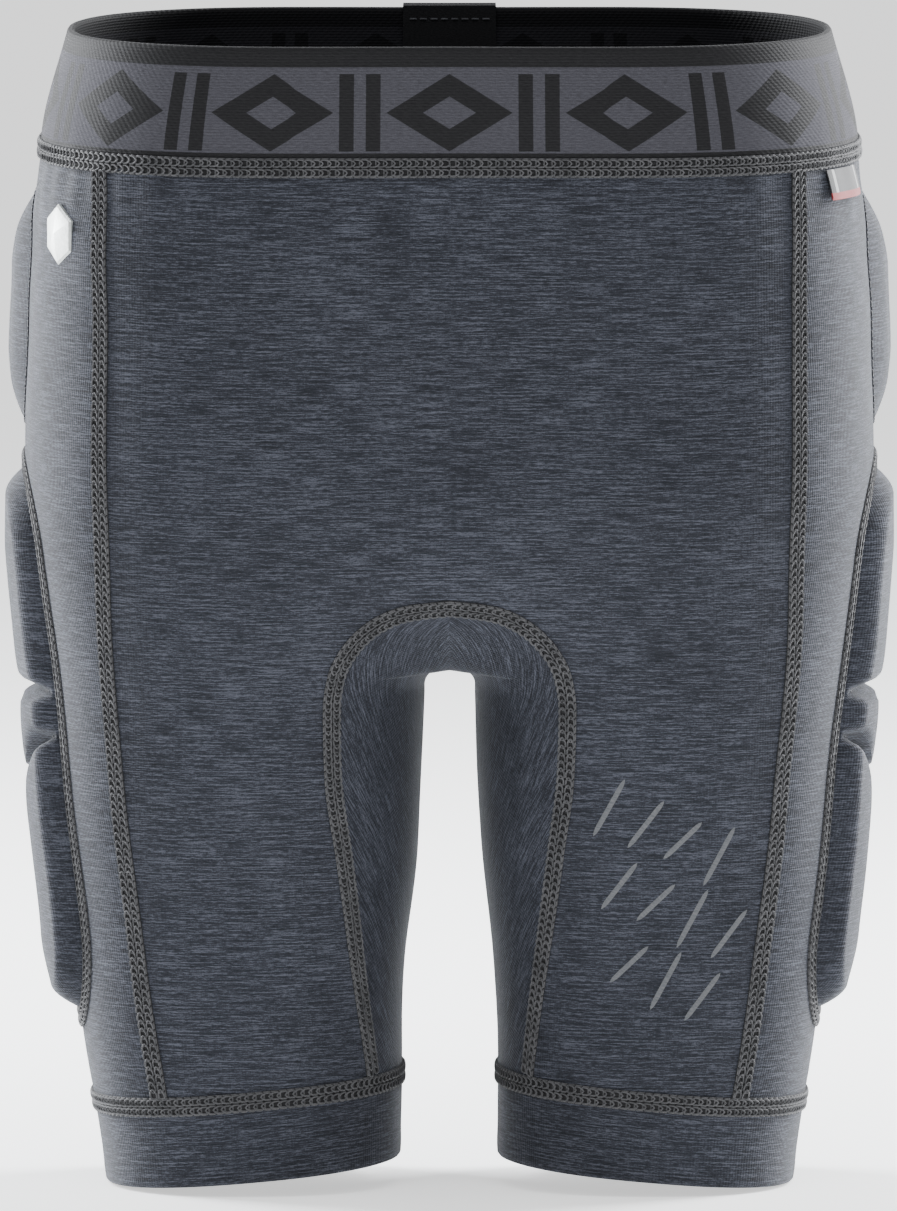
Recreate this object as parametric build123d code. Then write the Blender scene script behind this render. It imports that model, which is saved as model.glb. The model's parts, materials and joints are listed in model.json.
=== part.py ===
"""Padded impact shorts for skiing and snowboarding, in a child's size, in the shape they take when worn.

Frame: millimetres, +Z up, the wearer's front faces -Y and the wearer's left is +X. The origin is the centre of
the waist opening, at the waistband's top edge. Right-hand pieces are the wearer's right, at negative X.

The body surface is a half-garment tube, one for each leg, which runs from hem to waist and is cut at X = 0.
At every height its section is an egg with a centre, an outer reach, an inner reach, a front depth and a
back depth. Below the crotch the inner reach is the inside of the leg. Above it the inner reach lies far
beyond X = 0, so that the cut leaves half of the torso. Fabric panels are layers of that surface, cut by
prisms. Seams are strips that follow it, and pads are ruled through rows of curves over it. The left half is
built, and the right half is its mirror image.
"""

from build123d import *
import math
import os

# --- Driving dimensions -------------------------------------------------------------------------------
WAIST_SEAM = -36.0  # height of the seam between the waistband and the panels
CROTCH = -192.0
HEM = -349.0  # lowest point of the hem, on the outside of the leg
HEM_TILT = 5.0  # degrees: the hem rises towards the inside of the leg
CROTCH_BEND = 3.0  # height over which the gap between the legs closes
CROTCH_FLARE = 0.2  # how fast the inner reach passes the centre above the crotch
FULL_REACH = -115.0  # the inner reach from there up
CUFF_HEIGHT = 25.0
FABRIC = 1.2  # knitted fabric of the panels
CUFF_THICK = 1.8  # the hem is folded
ELASTIC = 2.2  # woven elastic of the waistband
ROUNDNESS = 2.3  # exponent of the section's superellipse: 2 is an ellipse, more is squarer

# (height, value) pairs that a smooth curve joins
OUTER_REACH = [(0, 115), (-36, 123.5), (-129, 128), (-192, 121.5), (-299, 111), (-349, 103.5)]
LEG_GAP = [(-201, 7.4), (-246, 9.5), (-282, 13.2), (-309, 14.4), (-349, 15)]
SECTION_CENTRE = [(0, 45), (-129, 53), (-192, 61), (-249, 63.5), (-349, 59.2)]
FRONT_DEPTH = [(0, 73), (-36, 78), (-129, 82), (-192, 72), (-249, 62), (-349, 49)]
BACK_DEPTH = [(0, 75), (-36, 82), (-110, 97), (-160, 94), (-192, 82), (-249, 66), (-349, 50)]
SIDE_SEAM = [(-36, 105), (-120, 105), (-168, 104), (-229, 99.5), (-290, 92), (-349, 83)]
GUSSET_SEAM = [(-197, 35.4), (-221, 35), (-246, 32), (-268, 29), (-313, 23.5), (-349, 20)]
ARCH_SHOULDERS = [(-197, 35.4), (-176.6, 25)]  # the gusset seam on its way from the legs to the apex
GUSSET_APEX = -169.0
ARCH_LEAN = 0.15  # how far the seam leans outwards as it leaves the hem

# Heights of the stations that the tube runs through, closer together round the crotch
STATIONS = [-352, -325, -300, -275, -250, -225, -205, -198, -194, CROTCH, -189, -185, -180, -174, -168, -150]
STATIONS += [-129, -105, -80, -55, WAIST_SEAM]
WAIST_STATIONS = [WAIST_SEAM, -24, -12, 0]
CUFF_STATIONS = [-360, -340, -325, -310]
SECTION_POINTS = 28

SEAM_WIDTH = 6.0  # flatlock: four needles over butted edges
SEAM_RISE = 0.7
STITCH_WIDTH = 1.6  # single row of topstitching
STITCH_RISE = 0.5

# Pads, as rounded rectangles: low and high across, bottom and top, corner radius, the share of its width that
# the pad loses towards its bottom, full height, width of the rounded edge. The thigh and hip pads are seen
# from the side, so that across is Y. For the tail pad it is X.
THIGH_PAD = dict(view="side", low=-26, high=56, bottom=-296, top=-134)
THIGH_PAD.update(corner=24, narrow=0.3, rise=10.0, edge=9.0)
HIP_PAD = dict(view="side", low=-8, high=58, bottom=-120, top=-50)
HIP_PAD.update(corner=22, narrow=0.0, rise=6.5, edge=12.0)
TAIL_PAD = dict(view="back", low=-38, high=38, bottom=-142, top=-66)
TAIL_PAD.update(corner=20, narrow=0.0, rise=8.0, edge=10.0)
ROW_STEP = 6.0  # between the rows that a pad is lofted through
ROW_POINTS = 15
EDGE_STEPS = (0.6, 1.8, 3.5)  # extra rows, this far from a pad's ends
COVER = 1.0  # stretch fabric over the foam
COVER_CLEAR = 0.02  # between the foam and its cover
FOAM_EDGE = 0.3  # the foam's height at its skived edge
FOAM_INSET = 1.5  # the foam ends this far inside the cover's outline
LIFT = 0.1  # keeps what lies on the panels clear of them
GROOVE_WIDTH = 3.0
GROOVE_ROOM = GROOVE_WIDTH / 2 + COVER  # from a groove's middle to the foam
GROOVE_WALL = 0.1  # how far a groove's walls lean
GROOVE_MARGIN = 4.0  # the stitching ends this far inside the pad
GROOVE_FLOOR = 1.5  # the cover's height at the bottom of a groove, where it is stitched down
GROOVES = [(-212.0, 16.0), (-199.0, 0.0)]  # height at the front edge, drop to the middle: the lower is a V

TAB_WIDTH = 28.0  # the black tab that covers the join of the waistband at the centre back
TAB_THICK = 1.0
TAB_DEPTH_INSIDE = -34.0
TAB_DEPTH_OUTSIDE = -18.0
TAB_CLEAR = 0.02  # between the tab and the elastic

BADGE_HEIGHT, BADGE_SIZE, BADGE_THICK = -59.0, 19.0, 1.6
BADGE_Y = -42.0
BADGE_TAPER = 45.0  # degrees: the slope of its facets
BADGE_BACK = 0.6  # how deep it is set into the curve of the fabric
TAG_WIDTH, TAG_DROP, TAG_THICK = 24.0, 9.0, 0.7
TAG_Y = -34.0  # where along the waist seam the tag hangs
TAG_CLEAR = 0.4  # between the tag and what it hangs over

PRINT_THICK, PRINT_WIDTH = 0.15, 1.4
PRINT_COUNT, PRINT_ACROSS = 11, 4  # strokes, and how many stand side by side
PRINT_START = (48.0, -230.0)  # X and height of the first stroke's middle
PRINT_STEP = (11.0, -5.0)  # from one stroke to the next
PRINT_ROW_STEP = (3.0, -24.0)  # from one row of strokes to the next
PRINT_SLOPE, PRINT_SLOPE_STEP = 62.0, 9.0  # degrees: three slopes take turns
PRINT_REACH = 10.0  # half a stroke's length
FAR = 200.0  # beyond the object, for the prisms that cut it


# --- The body surface ---------------------------------------------------------------------------------
def at_height(pairs, z):
    """A smooth curve through (height, value) pairs: cubic pieces that don't overshoot."""
    pairs = sorted(pairs)
    xs, ys = [p[0] for p in pairs], [p[1] for p in pairs]
    if z <= xs[0]:
        return ys[0]
    if z >= xs[-1]:
        return ys[-1]
    steps = [(ys[i + 1] - ys[i]) / (xs[i + 1] - xs[i]) for i in range(len(xs) - 1)]
    slopes = [steps[0]]
    for before, after in zip(steps, steps[1:]):
        same_way = before * after > 0
        slopes.append(2 * before * after / (before + after) if same_way else 0.0)
    slopes.append(steps[-1])
    i = max(k for k in range(len(xs) - 1) if xs[k] <= z)
    span = xs[i + 1] - xs[i]
    t = (z - xs[i]) / span
    low, high = (1 + 2 * t) * (1 - t) ** 2, t * t * (3 - 2 * t)
    bend = span * (t * (1 - t) ** 2 * slopes[i] - t * t * (1 - t) * slopes[i + 1])
    return low * ys[i] + high * ys[i + 1] + bend


def inner_reach(z):
    """Where the section ends on the inside: the leg gap below the crotch, far past the centre above it."""
    above = z - CROTCH
    if above >= 0:
        return max(-CROTCH_FLARE * above**2, FULL_REACH)
    return at_height(LEG_GAP, z) * (1 - math.exp(above / CROTCH_BEND))


def surface_point(z, angle, crotch_shift=0.0):
    """A point of the body surface at height z and its outward normal in the level plane."""
    centre = at_height(SECTION_CENTRE, z)
    reach = {1: at_height(OUTER_REACH, z) - centre, -1: centre - inner_reach(z + crotch_shift)}
    depth = {-1: at_height(FRONT_DEPTH, z), 1: at_height(BACK_DEPTH, z)}
    cos, sin = math.cos(angle), math.sin(angle)
    wide, deep = reach[1 if cos >= 0 else -1], depth[1 if sin >= 0 else -1]
    power = 2 / ROUNDNESS
    u, v = math.copysign(abs(cos) ** power, cos), math.copysign(abs(sin) ** power, sin)
    nx = math.copysign(abs(u) ** (ROUNDNESS - 1), u) / wide
    ny = math.copysign(abs(v) ** (ROUNDNESS - 1), v) / deep
    length = math.hypot(nx, ny)
    return centre + wide * u, deep * v, nx / length, ny / length


def section(z, offset):
    """The closed section at height z, moved outwards along its normals by offset."""
    points = []
    for k in range(SECTION_POINTS):
        x, y, nx, ny = surface_point(z, 2 * math.pi * k / SECTION_POINTS, offset)
        points.append((x + offset * nx, y + offset * ny, z))
    return Wire([Spline(points, periodic=True).edge()])


def layer(inside, outside, heights):
    """What lies between two offsets of the body surface in the left half of the garment."""
    inner = [section(z, inside) for z in heights]
    outer = [section(z, outside) for z in heights]
    walls = Solid.make_loft(inner, ruled=True).faces() + Solid.make_loft(outer, ruled=True).faces()
    ends = [Face(outer[0], [inner[0]]), Face(outer[-1], [inner[-1]])]
    upright = [face for face in walls if face.bounding_box().size.Z > 0.01]
    return Solid(Shell([*upright, *ends])) & left_half()


def on_surface(view, across, z, offset):
    """The point this far outside the surface, at (Y, Z) on the left side or (X, Z) on the front or back."""
    centre = at_height(SECTION_CENTRE, z)
    half_power = ROUNDNESS / 2
    if view == "side":
        deep = at_height(FRONT_DEPTH if across < 0 else BACK_DEPTH, z)
        angle = math.asin(math.copysign(abs(across / deep) ** half_power, across))
    else:
        wide = at_height(OUTER_REACH, z) - centre if across > centre else centre - inner_reach(z)
        share = min(abs(across - centre) / wide, 1.0)
        angle = math.acos(math.copysign(share**half_power, across - centre)) * (1 if view == "back" else -1)
    x, y, nx, ny = surface_point(z, angle)
    centred = view != "side" and across == 0
    return (0.0 if centred else x + offset * nx, y + offset * ny, z)


def left_half():
    return Pos(FAR, 0, -FAR) * Box(2 * FAR, 4 * FAR, 4 * FAR)


def front_half():
    return Pos(0, -FAR, -FAR) * Box(4 * FAR, 2 * FAR, 4 * FAR)


def across(part):
    """Both halves of a piece that crosses the centre, as one solid: the faces at X = 0 are left out."""
    faces = []
    for half in (part, part.mirror(Plane.YZ)):
        for face in half.faces():
            box = face.bounding_box()
            if box.size.X > 0.001 or abs(box.min.X) > 0.001:
                faces.append(face)
    return Solid(Shell(faces))


def ruled(one, other):
    """The face that straight lines make between two edges."""
    return Face.make_surface_from_curves(one, other)


def strip(view, path, width, low, high, closed=False):
    """A band along a path of (across, Z) points, between two heights over the surface."""
    points = [Vector(*point) for point in path]
    count = len(points)
    borders = {-1: [], 1: []}
    for k, point in enumerate(points):
        before = points[(k - 1) % count if closed else max(k - 1, 0)]
        after = points[(k + 1) % count if closed else min(k + 1, count - 1)]
        along = (after - before).normalized()
        if view != "side" and point.X == 0:
            along = Vector(math.copysign(1, along.X), 0)  # it meets its mirror image square on
        for side in borders:
            borders[side].append(point + Vector(-along.Y, along.X) * (side * width / 2))
    corners = [(-1, low), (1, low), (1, high), (-1, high)]
    rails = []
    for side, height in corners:
        rail = [on_surface(view, point.X, point.Y, height) for point in borders[side]]
        rails.append(Spline(rail, periodic=closed).edge())
    faces = [ruled(rails[k - 1], rails[k]) for k in range(4)]
    if not closed:
        for end in (0, 1):
            low_edge, high_edge = Line(rails[0] @ end, rails[1] @ end), Line(rails[3] @ end, rails[2] @ end)
            faces.append(ruled(low_edge.edge(), high_edge.edge()))
    return Solid(Shell(faces))


# --- Prisms that cut the layers -----------------------------------------------------------------------
def hem_plane(height):
    """A plane that passes the outside of the leg at this height and rises towards the inside."""
    slope = math.tan(math.radians(HEM_TILT))
    return Plane(origin=(at_height(OUTER_REACH, HEM), 0, height), z_dir=(slope, 0, 1))


def below(plane):
    return plane * Pos(0, 0, -FAR) * Box(4 * FAR, 4 * FAR, 2 * FAR)


def above(plane):
    return plane * Pos(0, 0, FAR) * Box(4 * FAR, 4 * FAR, 2 * FAR)


def front_view(outline):
    """A closed outline in X and Z, run through from front to back."""
    return extrude(Face(Wire(outline)), amount=FAR, both=True)


def centre_prism():
    """Everything between the side seams, seen from the front."""
    heights = (-352, -330, -290, -250, -210, -168, -120, -80, WAIST_SEAM)
    side = [(at_height(SIDE_SEAM, z), 0, z) for z in heights]
    corners = [side[-1], (0, 0, side[-1][2]), (0, 0, side[0][2]), side[0]]
    return front_view([Spline(side).edge(), *Polyline(corners).edges()])


def gusset_arch():
    """Half of the gusset seam's arch in X and Z, from the hem up to the apex at X = 0."""
    legs = [(at_height(GUSSET_SEAM, z), 0, z) for z in (-352, -313, -268, -246, -221)]
    shoulders = [(x, 0, z) for z, x in ARCH_SHOULDERS]
    return Spline([*legs, *shoulders, (0, 0, GUSSET_APEX)], tangents=[(ARCH_LEAN, 0, 1), (-1, 0, 0)]).edge()


def gusset_prism():
    """Everything under the gusset seam's arch, seen from the front."""
    arch = gusset_arch()
    return front_view([arch, *Polyline([arch @ 1, (0, 0, (arch @ 0).Z), arch @ 0]).edges()])


# --- Pads ---------------------------------------------------------------------------------------------
def inside_by(pad, across_value, z):
    """How far a point lies inside the pad's outline."""
    half_wide, half_tall = (pad["high"] - pad["low"]) / 2, (pad["top"] - pad["bottom"]) / 2
    u = abs(across_value - (pad["high"] + pad["low"]) / 2) - half_wide + pad["corner"]
    v = abs(z - (pad["top"] + pad["bottom"]) / 2) - half_tall + pad["corner"]
    return pad["corner"] - math.hypot(max(u, 0), max(v, 0)) - min(max(u, v), 0)


def squeezed(pad, across_value, z):
    """Where a place across the full-width outline comes to lie, as the pad narrows towards its bottom."""
    down = (pad["top"] - z) / (pad["top"] - pad["bottom"])
    return pad["low"] + (across_value - pad["low"]) * (1 - pad["narrow"] * down)


def foam_height(pad, across_value, z):
    """The foam's height: a rounded edge and a level middle."""
    share = min(max(inside_by(pad, across_value, z) / pad["edge"], 0.0), 1.0)
    return FOAM_EDGE + (pad["rise"] - COVER - FOAM_EDGE) * math.sin(share * math.pi / 2)


def reach_at(pad, z, inset):
    """The low and high ends of the pad's outline at height z, moved inwards by inset."""
    corner = pad["corner"] - inset
    depth = min(pad["top"] - inset - z, z - pad["bottom"] - inset)
    into = corner - math.sqrt(max(corner**2 - max(corner - depth, 0.0) ** 2, 0.0))
    return pad["low"] + inset + into, pad["high"] - inset - into


def row(pad, z, drop, inset, low, high):
    """Two curves across a pad, along its underside and along its top."""
    start, end = reach_at(pad, z, inset)
    if pad["view"] == "back":
        start = 0.0
    middle, span = (pad["low"] + pad["high"]) / 2, (pad["high"] - pad["low"]) / 2
    under, top = [], []
    for k in range(ROW_POINTS):
        share = (1 - math.cos(math.pi * k / (ROW_POINTS - 1))) / 2
        place = start + (end - start) * share
        height = z - drop * (1 + math.cos(math.pi * (place - middle) / span)) / 2
        foam_top = foam_height(pad, place, z)
        at = squeezed(pad, place, height)
        under.append(on_surface(pad["view"], at, height, low(foam_top)))
        top.append(on_surface(pad["view"], at, height, high(foam_top)))
    return Spline(under).edge(), Spline(top).edge()


def through_rows(rows):
    """The solid that ruled faces make through the rows of a pad, closed at both ends."""
    faces = [ruled(*rows[0]), ruled(*rows[-1])]
    for (under, top), (next_under, next_top) in zip(rows, rows[1:]):
        faces += [ruled(under, next_under), ruled(top, next_top)]
        for end in (0, 1):
            near, far = Line(under @ end, top @ end), Line(next_under @ end, next_top @ end)
            faces.append(ruled(near.edge(), far.edge()))
    return Solid(Shell(faces))


def row_heights(bottom, top, pad):
    """Heights from bottom to top, closer together where the pad's corners and edges round off."""
    count = math.ceil((top - bottom) / ROW_STEP)
    heights = [bottom + (top - bottom) * k / count for k in range(count + 1)]
    for start, sign, end in ((pad["bottom"], 1, bottom), (pad["top"], -1, top)):
        if abs(start - end) < 2 * FOAM_INSET:
            heights += [end + sign * extra for extra in EDGE_STEPS]
    return sorted(set(heights))


def drop_at(z):
    """How far a row at height z dips in the middle, so that rows near a groove run along it."""
    flats = [(THIGH_PAD["bottom"], 0.0), *GROOVES, (THIGH_PAD["top"], 0.0)]
    for (low, drop), (high, next_drop) in zip(flats, flats[1:]):
        if low <= z <= high:
            return drop + (next_drop - drop) * (z - low) / (high - low)
    return 0.0


def foam(pad, bottom=None, top=None):
    bottom = pad["bottom"] + FOAM_INSET if bottom is None else bottom
    top = pad["top"] - FOAM_INSET if top is None else top
    drop = drop_at if pad is THIGH_PAD else lambda z: 0.0
    heights = row_heights(bottom, top, pad)
    between = (lambda foam_top: LIFT, lambda foam_top: foam_top)
    return through_rows([row(pad, z, drop(z), FOAM_INSET, *between) for z in heights])


def thigh_blocks():
    """The foam's three blocks, with room for the cover in the grooves between them."""
    lower, upper = [height for height, drop in GROOVES]
    return {
        "lower": foam(THIGH_PAD, top=lower - GROOVE_ROOM),
        "middle": foam(THIGH_PAD, bottom=lower + GROOVE_ROOM, top=upper - GROOVE_ROOM),
        "upper": foam(THIGH_PAD, bottom=upper + GROOVE_ROOM),
    }


def cover(pad):
    """The fabric over a pad. On the thigh it follows the foam down into each groove."""
    grooves = GROOVES if pad is THIGH_PAD else []
    drop = drop_at if pad is THIGH_PAD else lambda z: 0.0
    over = (lambda foam_top: foam_top + COVER_CLEAR, lambda foam_top: foam_top + COVER)
    lining = (lambda foam_top: LIFT, over[1])
    floor = (lambda foam_top: LIFT, lambda foam_top: GROOVE_FLOOR)
    rows = [(z, over) for z in row_heights(pad["bottom"], pad["top"], pad)]
    wall_foot = GROOVE_WIDTH / 2
    for height, _ in grooves:
        rows = [entry for entry in rows if abs(entry[0] - height) > GROOVE_ROOM + EDGE_STEPS[0]]
        for side in (-1, 1):
            rows.append((height + side * GROOVE_ROOM, over))
            rows.append((height + side * (GROOVE_ROOM - GROOVE_WALL), lining))
            rows.append((height + side * wall_foot, lining))
            rows.append((height + side * (wall_foot - GROOVE_WALL), floor))
    rows.sort(key=lambda entry: entry[0])
    return through_rows([row(pad, z, drop(z), 0.0, *heights) for z, heights in rows])


def outline(pad, grow):
    """Points round the pad's outline, moved outwards by grow."""
    corner = pad["corner"] + grow
    wide = (pad["high"] - pad["low"]) / 2 - pad["corner"]
    tall = (pad["top"] - pad["bottom"]) / 2 - pad["corner"]
    middle = Vector((pad["high"] + pad["low"]) / 2, (pad["top"] + pad["bottom"]) / 2)
    quarters = []
    for quarter, centre in enumerate(((wide, tall), (-wide, tall), (-wide, -tall), (wide, -tall))):
        turns = [90 * (quarter + k / 5) for k in range(6)]
        quarters.append([middle + Vector(*centre) + Vector(corner, 0).rotate(Axis.Z, turn) for turn in turns])
    points = []
    for arc, following in zip(quarters, quarters[1:] + quarters[:1]):
        straight = following[0] - arc[-1]
        points += arc + [arc[-1] + straight * (k / 4) for k in (1, 2, 3)]
    return [(squeezed(pad, point.X, point.Y), point.Y) for point in points]


def pad_ring(pad, width, rise):
    """A stitched ring round a pad's outline. One that crosses the centre is a half and its mirror image."""
    path = outline(pad, width / 2)
    if pad["view"] == "side":
        return strip("side", path, width, LIFT, rise, closed=True)
    start = path.index(min(path, key=lambda point: (round(point[1], 3), abs(point[0]))))
    half = (path[start:] + path[:start])[: len(path) // 2 + 1]
    half = [(0.0, half[0][1]), *half[1:-1], (0.0, half[-1][1])]
    return across(strip(pad["view"], half, width, LIFT, rise))


def groove_stitches():
    """Raised stitching along the floor of both grooves."""
    lines = []
    middle, span = (THIGH_PAD["low"] + THIGH_PAD["high"]) / 2, (THIGH_PAD["high"] - THIGH_PAD["low"]) / 2
    for height, drop in GROOVES:
        path = []
        for k in range(13):
            place = middle + (span - GROOVE_MARGIN) * (k / 6 - 1)
            z = height - drop * (1 + math.cos(math.pi * (place - middle) / span)) / 2
            path.append((squeezed(THIGH_PAD, place, z), z))
        lines.append(strip("side", path, STITCH_WIDTH, GROOVE_FLOOR, GROOVE_FLOOR + STITCH_RISE))
    return Compound(children=lines)


# --- Fabric -------------------------------------------------------------------------------------------
def shell():
    """The half garment's fabric between the waist seam and the cuff."""
    return layer(-FABRIC, 0.0, STATIONS) & above(hem_plane(HEM + CUFF_HEIGHT))


def cuff():
    slab = above(hem_plane(HEM)) & below(hem_plane(HEM + CUFF_HEIGHT))
    return layer(-CUFF_THICK, 0.0, CUFF_STATIONS) & slab


def waistband():
    return across(layer(-ELASTIC, 0.0, WAIST_STATIONS))


def join_tab():
    """A folded tab over the waistband at the centre back, deeper inside than outside."""
    inner, outer = -ELASTIC - TAB_THICK, TAB_THICK
    legs = [(-ELASTIC - TAB_CLEAR, TAB_DEPTH_INSIDE), (inner, TAB_DEPTH_INSIDE), (inner, TAB_THICK)]
    legs += [(outer, TAB_THICK), (outer, TAB_DEPTH_OUTSIDE), (TAB_CLEAR, TAB_DEPTH_OUTSIDE)]
    legs += [(TAB_CLEAR, TAB_CLEAR), (-ELASTIC - TAB_CLEAR, TAB_CLEAR)]
    places = [0.0, TAB_WIDTH / 4, TAB_WIDTH / 2]
    rails = [Spline([on_surface("back", x, z, offset) for x in places]).edge() for offset, z in legs]
    faces = [ruled(rails[k - 1], rails[k]) for k in range(8)]
    for a, b, c, d in ((0, 7, 1, 2), (7, 6, 2, 3), (6, 5, 3, 4)):
        faces.append(ruled(Line(rails[a] @ 1, rails[b] @ 1).edge(), Line(rails[c] @ 1, rails[d] @ 1).edge()))
    return Solid(Shell(faces + [face.mirror(Plane.YZ) for face in faces]))


# --- Seams --------------------------------------------------------------------------------------------
def above_cuff(x):
    """Where a long seam ends at its lower end: the hem seam's upper edge."""
    rise = math.tan(math.radians(HEM_TILT)) * (at_height(OUTER_REACH, HEM) - x)
    return HEM + CUFF_HEIGHT + SEAM_WIDTH / 2 + rise


def side_seam_path():
    """(X, Z) points along the seam between the side panel and the front or back, from the hem to the waist."""
    low, high = above_cuff(at_height(SIDE_SEAM, HEM)), WAIST_SEAM - SEAM_WIDTH / 2
    heights = [low + (high - low) * k / 24 for k in range(25)]
    return [(at_height(SIDE_SEAM, z), z) for z in heights]


def gusset_path():
    """(X, Z) points along half of the arch that edges the gusset, from the hem to the apex."""
    edge = gusset_arch()
    points = [edge @ (k / 40) for k in range(41)]
    return [(p.X, p.Z) for p in points if p.Z > above_cuff(p.X) and p.X > 0.5] + [(0.0, GUSSET_APEX)]


def gusset_seam(view):
    return across(strip(view, gusset_path(), SEAM_WIDTH, LIFT, SEAM_RISE))


def waist_seam():
    low, high = WAIST_SEAM - SEAM_WIDTH / 2, WAIST_SEAM + SEAM_WIDTH / 2
    return across(layer(0.0, SEAM_RISE, [low, WAIST_SEAM, high]))


def hem_seam():
    height = HEM + CUFF_HEIGHT
    slab = above(hem_plane(height - SEAM_WIDTH / 2)) & below(hem_plane(height + SEAM_WIDTH / 2))
    return layer(0.0, SEAM_RISE, CUFF_STATIONS) & slab


# --- Trim ---------------------------------------------------------------------------------------------
def side_frame(y, z):
    """A plane on the left side's surface at this Y and height: its X runs level, its Z points outwards."""
    angles = [math.radians(a) for a in range(-90, 91)]
    x, at_y, nx, ny = min((surface_point(z, a) for a in angles), key=lambda p: abs(p[1] - y))
    return Plane(origin=(x, at_y, z), x_dir=(-ny, nx, 0), z_dir=(nx, ny, 0))


def badge():
    """A faceted six-sided badge on the wearer's right hip."""
    place = side_frame(BADGE_Y, BADGE_HEIGHT)
    outline_face = place * RegularPolygon(BADGE_SIZE / 2, 6, rotation=30)
    body = extrude(outline_face, amount=BADGE_THICK, taper=BADGE_TAPER)
    back = extrude(outline_face, amount=-BADGE_BACK)
    return (body + back).mirror(Plane.YZ)


def tag():
    """A small woven tag that hangs from under the waist seam on the wearer's left."""
    place = side_frame(TAG_Y, WAIST_SEAM - SEAM_WIDTH / 2 - TAG_CLEAR)
    centre = Pos(0, -TAG_DROP / 2, SEAM_RISE + TAG_THICK / 2 + TAG_CLEAR)
    return place * centre * Box(TAG_WIDTH, TAG_DROP, TAG_THICK)


def reflective_print():
    """Slanted strokes of reflective print on the front of the wearer's left thigh."""
    strokes = []
    for k in range(PRINT_COUNT):
        line, place = divmod(k, PRINT_ACROSS)
        x = PRINT_START[0] + PRINT_STEP[0] * place + PRINT_ROW_STEP[0] * line
        z = PRINT_START[1] + PRINT_STEP[1] * place + PRINT_ROW_STEP[1] * line
        slope, reach = math.radians(PRINT_SLOPE - PRINT_SLOPE_STEP * (k % 3)), PRINT_REACH - k % 3
        run, climb = reach * math.cos(slope), reach * math.sin(slope)
        path = [(x + run * t, z + climb * t) for t in (-1, -0.5, 0, 0.5, 1)]
        strokes.append(strip("front", path, PRINT_WIDTH, LIFT, LIFT + PRINT_THICK))
    return Compound(children=strokes)


# --- Export -------------------------------------------------------------------------------------------
def write(name, part):
    os.makedirs("parts", exist_ok=True)
    export_step(part, f"parts/{name}.step")


def write_pair(name, part):
    write(f"left_{name}", part)
    write(f"right_{name}", part.mirror(Plane.YZ))


def write_fabric():
    upper = shell()
    inner = upper & gusset_prism()
    write("gusset", across(inner))
    middle = (upper & centre_prism()) - gusset_prism()
    write("front_panel", across(middle & front_half()))
    write("back_panel", across(middle - front_half()))
    write_pair("side_panel", upper - centre_prism())
    write_pair("hem_cuff", cuff())
    write("waistband", waistband())
    write("waistband_join_tab", join_tab())


def write_pads():
    for name, block in thigh_blocks().items():
        write_pair(f"thigh_pad_{name}", block)
    write_pair("thigh_pad_cover", cover(THIGH_PAD))
    write_pair("thigh_groove_stitches", groove_stitches())
    write_pair("thigh_pad_seam", pad_ring(THIGH_PAD, SEAM_WIDTH, SEAM_RISE))
    write_pair("hip_pad", foam(HIP_PAD))
    write_pair("hip_pad_cover", cover(HIP_PAD))
    write_pair("hip_pad_stitching", pad_ring(HIP_PAD, STITCH_WIDTH, STITCH_RISE))
    write("tail_pad", across(foam(TAIL_PAD)))
    write("tail_pad_cover", across(cover(TAIL_PAD)))
    write("tail_pad_stitching", pad_ring(TAIL_PAD, STITCH_WIDTH, STITCH_RISE))


def write_seams():
    write_pair("front_seam", strip("front", side_seam_path(), SEAM_WIDTH, LIFT, SEAM_RISE))
    write_pair("back_seam", strip("back", side_seam_path(), SEAM_WIDTH, LIFT, SEAM_RISE))
    write("gusset_front_seam", gusset_seam("front"))
    write("gusset_back_seam", gusset_seam("back"))
    write("waist_seam", waist_seam())
    write_pair("hem_seam", hem_seam())


def write_trim():
    write("hip_badge", badge())
    write("side_tag", tag())
    write("reflective_print", reflective_print())


write_fabric()
write_pads()
write_seams()
write_trim()
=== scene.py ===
"""The visible pieces of the padded impact shorts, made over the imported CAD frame.

Lengths inside the functions are millimetres in the row's frame, and make_mesh turns them into metres. The
body surface follows the CAD model's: a tube for each leg whose section at every height is an egg, cut at
X = 0. It is a little rounder at the crotch. Every fabric panel, seam and pad is a layer over that surface.
"""

import json
import math
from dataclasses import dataclass

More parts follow.
